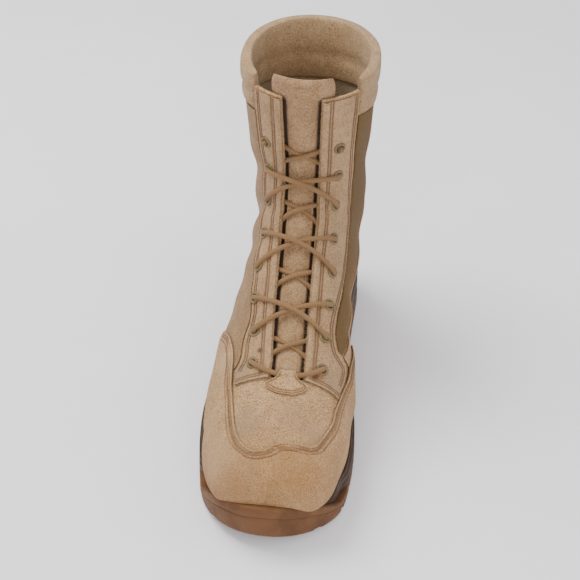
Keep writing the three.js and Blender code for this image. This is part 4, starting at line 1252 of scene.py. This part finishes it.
def make_lace():
    """Round braid: two sets of strands wind round it and pass over each other."""
    sides, strands, braid_pitch = 24, 6, 9.0
    path = LACE_PATH
    along = unit(np.gradient(path, axis=0))
    up = np.zeros_like(along)
    up[0] = unit(np.cross(along[0], [1.0, 0, 0]))
    for k in range(1, len(path)):
        up[k] = unit(up[k - 1] - along[k] * np.dot(up[k - 1], along[k]))
    side = np.cross(along, up)
    turn = np.linspace(0, 2 * np.pi, sides + 1)
    wind = 2 * np.pi * LACE_STEP * np.arange(len(path))[:, None] / braid_pitch
    weave = np.maximum(np.cos(strands * (turn + wind)), np.cos(strands * (turn - wind))) * 0.5 + 0.5
    radius = LACE / 2 * (0.93 + 0.1 * weave)
    radius[0] = radius[-1] = 0.05
    radius[1] = radius[1] * 0.8
    radius[-2] = radius[-2] * 0.8
    ring = np.cos(turn)[None, :, None] * up[:, None] + np.sin(turn)[None, :, None] * side[:, None]
    points = path[:, None] + radius[..., None] * ring
    piece, row, column = skin("braided_lace", points, points - path[:, None])
    store(piece, "braid", weave[row, column])
    weld(piece, 1e-5)
    crossings = [f"lace_cross_{k + 1}" for k in range(EYELET_ROWS - 1)]
    return finish_piece(piece, "lace", BRAID, replaces=["lace_bar", *crossings])


def beside_throat(section, degrees):
    """1 where the tongue passes under the throat's edges, 0 in the open and above the facings."""
    half = straight(THROAT, np.clip(section, 6.4, UPPER_TOP), 1)
    return ramp(np.abs(degrees), half - 4.2, half - 0.8) * (1 - ramp(section, 19.9, 20.7))


def make_tongue():
    """Padded tongue that swells between the strands of the lace."""
    foot, bend, tip = 5.3, 21.2, 0.7
    foot_half, swell_half, across = 22, 9, 61
    at = np.concatenate([np.linspace(foot, bend, 240), bend + tip * np.sin(np.linspace(0.12, np.pi / 2, 14))])
    share = (at - at[0]) / (at[-1] - at[0])
    half = foot_half + swell_half * ramp(share, 0, 0.5)
    half = half * np.sqrt(np.clip(1 - ramp(share, 0.93, 1.08) ** 2, 0, 1))
    u = np.sin(np.linspace(-np.pi / 2, np.pi / 2, across))
    s = np.broadcast_to(at[:, None], (len(at), across))
    g = half[:, None] * u[None, :]
    bare = on_last(s, g)
    out = way_out(s, g)
    clear = nearest(bare - out * 1.5, LACE_PATH[::3])
    swell = ramp(clear, 1.0, 7.0) * np.exp(-(np.abs(g) / 13.5) ** 4)
    seam_turn = np.interp(at, [foot, 8, 12, 22], [9, 10.5, 12, 13])[:, None]
    channel = sum(hump(np.abs(g) - seam_turn + back, 0.9) for back in TONGUE_SEAMS)
    edge = np.sqrt(np.clip(1 - np.abs(u[None, :]) ** 6, 0, 1))
    edge = edge * np.sqrt(1 - np.clip((share - 0.975) / 0.025, 0, 1)[:, None] ** 2)
    top = -WALL - GAP - TONGUE / 2 + (TONGUE / 2 + 1.9 * swell - 0.5 * channel) * edge
    top = top - 3.2 * beside_throat(s, g)
    top = top + 0.25 * np.sin(at * 5 + 1.1 * np.sin(at * 2.3))[:, None] * edge * np.exp(-(g / 16) ** 2)
    under = -WALL - GAP - TONGUE / 2 - TONGUE / 2 * edge
    loop_lift, loop_s, loop_g = (np.concatenate([over, back[:, -2:0:-1], over[:, :1]], axis=1)
                                 for over, back in ((top, under), (s, s), (g, g)))
    points = place(loop_s, loop_g, loop_lift)
    piece, row, column = skin("tongue_pad", points, points - points.mean(axis=1, keepdims=True))
    # Painted shade, strongest where the tongue passes under the facings' edges.
    throat_shade_share = 0.9 * beside_throat(loop_s, loop_g)
    store(piece, "throat_shade", throat_shade_share[row, column])
    weld(piece)
    cap_ends(piece)
    finish_piece(piece, "tongue", TONGUE_SUEDE, replaces=["tongue"])
    seams = []
    for side in (-1, 1):
        for back in TONGUE_SEAMS:
            line = np.stack([at[4:-20], side * (seam_turn[4:-20, 0] - back)], 1)
            seams.append((line, -WALL - GAP + 0.15))
    return seams


def make_eyelets():
    """Rolled rings with a barrel through the wall, turned from one profile of radius and height."""
    profile = np.array([
        [2.45, -WALL], [2.45, 2.0], [2.6, 2.45], [3.1, 2.75], [3.9, 2.7], [4.45, 2.4],
        [4.62, 2.0], [4.55, 1.65], [3.3, 1.6], [3.2, 0.5], [3.2, -WALL], [2.45, -WALL],
    ])
    turn = np.linspace(0, 2 * np.pi, 33)
    for side, word in ((1, "medial"), (-1, "lateral")):
        for k, s in enumerate(ROWS):
            g = side * eyelet_turn(s)
            up = way_out(s, g)
            foot = on_last(s, g) + up * crease(np.array(s), np.array(g))
            right = unit(np.cross(up, [0.0, 0, 1]))
            fore = np.cross(right, up)
            ring = np.cos(turn)[None, :, None] * right + np.sin(turn)[None, :, None] * fore
            points = foot + profile[:, :1, None] * ring + profile[:, 1:, None] * up
            centre = foot + ring * 3.5 + up * 1.0
            piece = skin(f"eyelet_ring_{word}_{k + 1}", points, points - centre)[0]
            weld(piece, 1e-5)
            finish_piece(piece, "eyelet", PAINT, replaces=[f"eyelet_{word}_{k + 1}"])


# The midsole's side: share of the height and inset; then its rim: inset and height over the edge
MIDSOLE_PROFILE = [
    (0.0, 1.6), (0.05, 0.8), (0.12, 0.4), (0.38, 0.3), (0.42, 0.7), (0.45, 1.5), (0.53, 1.6),
    (0.56, 1.0), (0.6, 0.4), (0.74, 0.5), (0.78, 1.0), (0.81, 2.0), (0.86, 2.2), (0.9, 1.9),
    (0.96, 2.0), (0.99, 2.5), (1.0, 3.1),
]
RIM_SLOPE = [(3.9, 0.1), (6.0, -0.1), (8.5, -0.7), (11.5, -3.0), (15.0, -7.3)]

# The outsole's side: share of the height and inset; then the bumper's lip: inset and drop
BUMPER_PROFILE = [
    (0.0, 1.6), (0.03, 0.7), (0.07, 0.2), (0.15, 0.0), (0.35, -0.15), (0.55, 0.0), (0.64, 0.2),
    (0.675, 0.5), (0.69, 0.95), (0.705, 0.5), (0.74, 0.1), (0.84, 0.1), (0.93, 0.5), (0.97, 1.0),
    (0.99, 1.7), (1.0, 2.6),
]
LIP_SLOPE = [(3.8, 0.1), (5.5, 0.5), (7.5, 1.8), (9.5, 5.0)]
TREAD_INSETS = (24.0, 16.0, 9.0, 4.0)
TURNS = 360
SPINE_MARGIN = 34


def sole_level(inset, height):
    """A ring of the sole: an inset, a number or a function of y, at a height, a function of y."""
    turn = np.linspace(0, 2 * np.pi, TURNS + 1)
    point = outline_point(turn)
    way = unit(outline_point(turn + 0.004) - outline_point(turn - 0.004))
    y = point[:, 1]
    distance = np.broadcast_to(inset(y) if callable(inset) else inset, y.shape)
    moved_in = point + np.stack([-way[:, 1], way[:, 0]], 1) * distance[:, None]
    return np.concatenate([moved_in, height(y)[:, None]], 1)


def spine_level(height):
    """A ring drawn in to a line down the middle of the sole, which closes it."""
    turn = np.linspace(0, 2 * np.pi, TURNS + 1)
    y = np.clip(SOLE_LENGTH * (1 - np.cos(turn)) / 2, SPINE_MARGIN, SOLE_LENGTH - SPINE_MARGIN)
    width = through(OUTLINE, (len(OUTLINE) - 1) * y / SOLE_LENGTH)
    middle = (width[:, 0] - width[:, 1]) * BALL_WIDTH / 2
    return np.stack([middle, y, height(y)], 1)


def under_bumper(y):
    """1 where the bumper covers the midsole, 0 behind it."""
    return 1 - ramp(y, BUMPER_REACH, BUMPER_REACH + 14)


def make_midsole():
    """Cup with a groove and steps in its side, drawn in under the bumper."""
    def top(y):
        return rim(y) - BUMPER_DROP * under_bumper(y + 14)

    def low(y):
        return outsole_top(y) + GAP * 0.3

    levels = []
    for up, inset in MIDSOLE_PROFILE:
        levels.append(sole_level(lambda y: inset + (BUMPER_WALL + GAP - inset) * under_bumper(y),
                                 lambda y: low(y) + (top(y) - low(y)) * up))
    for inset, rise in RIM_SLOPE:
        levels.append(sole_level(lambda y: inset + (BUMPER_WALL - 2.0) * under_bumper(y),
                                 lambda y: top(y) + rise))
    levels.append(sole_level(lambda y: 14 + 2.2 * under_bumper(y), lambda y: outsole_top(y) + 0.6))
    levels.append(levels[0])
    points = np.array(levels)
    core = sole_level(7.0, lambda y: (outsole_top(y) + rim(y)) / 2)[None]
    piece = skin("midsole_rubber", points, points - core)[0]
    weld(piece, 1e-5)
    face_outwards(piece)
    return finish_piece(piece, "midsole", FOAM_WITH_PAINTED_SHADE, replaces=["midsole"])


def make_outsole():
    """Sheet with lugs, whose edge rises at the toe as a bumper."""
    def top(y):
        return outsole_top(y) + (rim(y) - outsole_top(y)) * (1 - ramp(y, 5, BUMPER_REACH))

    def wavy(level):
        """The lip's line rises at the corners and dips where the toe is widest in front."""
        x, y = level[:, 0], level[:, 1]
        level[:, 2] += 0.9 * np.cos((x - 4) / 9.0) * (1 - ramp(y, 6, 30)) * hump(x - 2, 34)
        return level

    levels = [spine_level(tread)] + [sole_level(inset, tread) for inset in TREAD_INSETS]
    for up, inset in BUMPER_PROFILE:
        level = sole_level(lambda y: inset * (0.35 + 0.65 * (1 - ramp(y, 20, 60))),
                           lambda y: tread(y) + (top(y) - tread(y)) * up)
        levels.append(wavy(level) if up > 0.6 else level)
    for inset, down in LIP_SLOPE:
        level = sole_level(inset, lambda y: np.maximum(top(y) - down, outsole_top(y)))
        levels.append(wavy(level))
    levels += [sole_level(10.0, outsole_top), spine_level(outsole_top)]
    points = np.array(levels)
    core = sole_level(20.0, lambda y: (tread(y) + outsole_top(y)) / 2)[None]
    piece = skin("outsole_rubber", points, points - core)[0]
    weld(piece, 1e-5)
    face_outwards(piece)
    cut_lugs(piece)
    return finish_piece(piece, "outsole", GUM, replaces=["outsole"])


def cut_lugs(piece):
    """Grooves across both edges of the tread, and the raised waist under the arch."""
    forefoot, breast = (share * SOLE_LENGTH for share in WAIST)
    cutters = []

    def cutter(width, length, height, x, y, z, turn=0.0):
        bpy.ops.object.select_all(action="DESELECT")
        spot = (np.array([x, y, z]) + SHIFT) / 1000
        bpy.ops.mesh.primitive_cube_add(size=1, location=spot, rotation=(0, 0, turn),
                                        scale=(width / 1000, length / 1000, height / 1000))
        bpy.ops.object.transform_apply(location=True, rotation=True, scale=True)
        cutters.append(bpy.context.object)

    def groove(y, slant):
        reach = BALL_WIDTH / 2 + GROOVE
        for side in (-1, 1):
            cutter(BALL_WIDTH, GROOVE, 2 * LUG_DEPTH, side * reach, y, float(tread(y)), side * slant)

    for y in np.arange(LUG_PITCH, forefoot - GROOVE, LUG_PITCH):
        groove(y, LUG_SLANT)
    for y in np.arange(breast + LUG_PITCH, SOLE_LENGTH - LUG_PITCH, LUG_PITCH):
        groove(y, 0.0)
    cutter(2 * BALL_WIDTH, breast - forefoot, 2 * LUG_DEPTH, 0, (forefoot + breast) / 2, 0)
    for tool in cutters:
        apply(piece, "BOOLEAN", operation="DIFFERENCE", object=tool, solver="EXACT")
        bpy.data.objects.remove(tool)


def dress_insole():
    """The insole board keeps its CAD mesh and gets the lining's cloth."""
    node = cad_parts["insole"]
    node.data.materials.clear()
    node.data.materials.append(LINING)


def add_fibres():
    """Fibres at the raw edges of the facings, of the toe guard and of the medial quarter."""
    edges = []
    for side in (1, -1):
        inner, outer = facing_lines(side)
        edges.append((inner, OVERLAY_TOP, -side, 8))
        edges.append((outer[outer[:, 0] < 12], OVERLAY_TOP, side, 2))
        edges.append((facing_lip(side, 0.05, 1), OVERLAY_TOP, -side, 4))
    fray("facing_fibres", edges, FIBRE, 11, "facing")
    guard_lift = OVERLAY_TOP + lap_lift(*evened(GUARD_EDGE, 0.4).T)
    quarter = line_of(MEDIAL_QUARTER)
    edges = [(GUARD_EDGE, guard_lift, 1, 2.5), (quarter[len(quarter) // 4:], QUARTER_TOP, -1, 5)]
    fray("panel_fibres", edges, FIBRE, 12, "suede")


def make_boot():
    make_outsole()
    make_midsole()
    dress_insole()
    make_upper()
    guard_seams = make_toe_guard()
    facing_seams = make_facings()
    quarter_seams = make_quarters()
    make_vent()
    tab_seams = make_throat_tab()
    stay_seams = make_back_stay()
    collar_seams = make_collar()
    make_lace()
    tongue_seams = make_tongue()
    make_eyelets()
    add_fibres()
    sew("toe_guard_stitches", guard_seams, THREAD_FINISH, 1)
    sew("facing_stitches", facing_seams, THREAD_FINISH, 2, "facing")
    sew("quarter_stitches", quarter_seams + stay_seams, THREAD_FINISH, 3)
    sew("tab_stitches", tab_seams, THREAD_FINISH, 4)
    sew("tongue_stitches", tongue_seams, THREAD_FINISH, 5, "tongue")
    sew("collar_stitches", collar_seams, THREAD_FINISH, 6, "collar")


# The stage

def make_floor():
    bpy.ops.object.select_all(action="DESELECT")
    bpy.ops.mesh.primitive_plane_add(size=6, location=(0, 0, 0))
    floor = bpy.context.object
    floor.name = "floor"
    made = Finish("pale_floor", Specular_IOR_Level=0.2)
    colour = made.mix(made.noise(8, 3).between(0.3, 0.7), (0.90, 0.875, 0.90), (0.93, 0.905, 0.93))
    made.feed(Base_Color=colour, Roughness=made.noise(300).between(0.3, 0.7, 0.75, 0.9))
    floor.data.materials.append(made.material)


def add_light(name, location, target, size, energy, colour):
    data = bpy.data.lights.new(name, "AREA")
    data.size, data.energy, data.color = size, energy, colour
    light = bpy.data.objects.new(name, data)
    light.location = location
    light.rotation_euler = (Vector(target) - Vector(location)).to_track_quat("-Z", "Y").to_euler()
    bpy.context.scene.collection.objects.link(light)


def make_lights():
    world = bpy.data.worlds.new("studio")
    bpy.context.scene.world = world
    world.use_nodes = True
    sky = world.node_tree.nodes["Background"]
    sky.inputs["Color"].default_value = (0.93, 0.95, 1.0, 1)
    sky.inputs["Strength"].default_value = 0.8
    add_light("key", (-0.55, 0.25, 1.15), (0, 0, 0.05), 0.7, 18, (1.0, 0.98, 0.95))
    add_light("fill", (0.25, -1.3, 0.9), (0, -0.05, 0.05), 1.2, 13, (1.0, 0.97, 0.94))
    add_light("side", (1.1, -0.1, 0.7), (0, 0, 0.05), 0.9, 5, (0.95, 0.97, 1.0))


# Camera: where the photograph was taken from, in the last's own frame, its turn, lens and aim
EYE = np.array([95.5, -624.3, 764.6])
ROLL = 0.015
SENSOR = 36.0
LENS = 88.0
AIM = (0.0, 4.0, 100.0)


def make_camera():
    data = bpy.data.cameras.new("camera")
    camera = bpy.data.objects.new("camera", data)
    bpy.context.scene.collection.objects.link(camera)
    bpy.context.scene.camera = camera
    data.sensor_width = SENSOR
    camera.location = (EYE + SHIFT) / 1000
    data.lens = LENS
    aim = Vector(AIM) / 1000
    forward = (aim - camera.location).normalized()
    camera.rotation_euler = forward.to_track_quat("-Z", "Y").to_euler()
    camera.rotation_euler.rotate_axis("Z", ROLL)


make_boot()
make_floor()
make_lights()
make_camera()
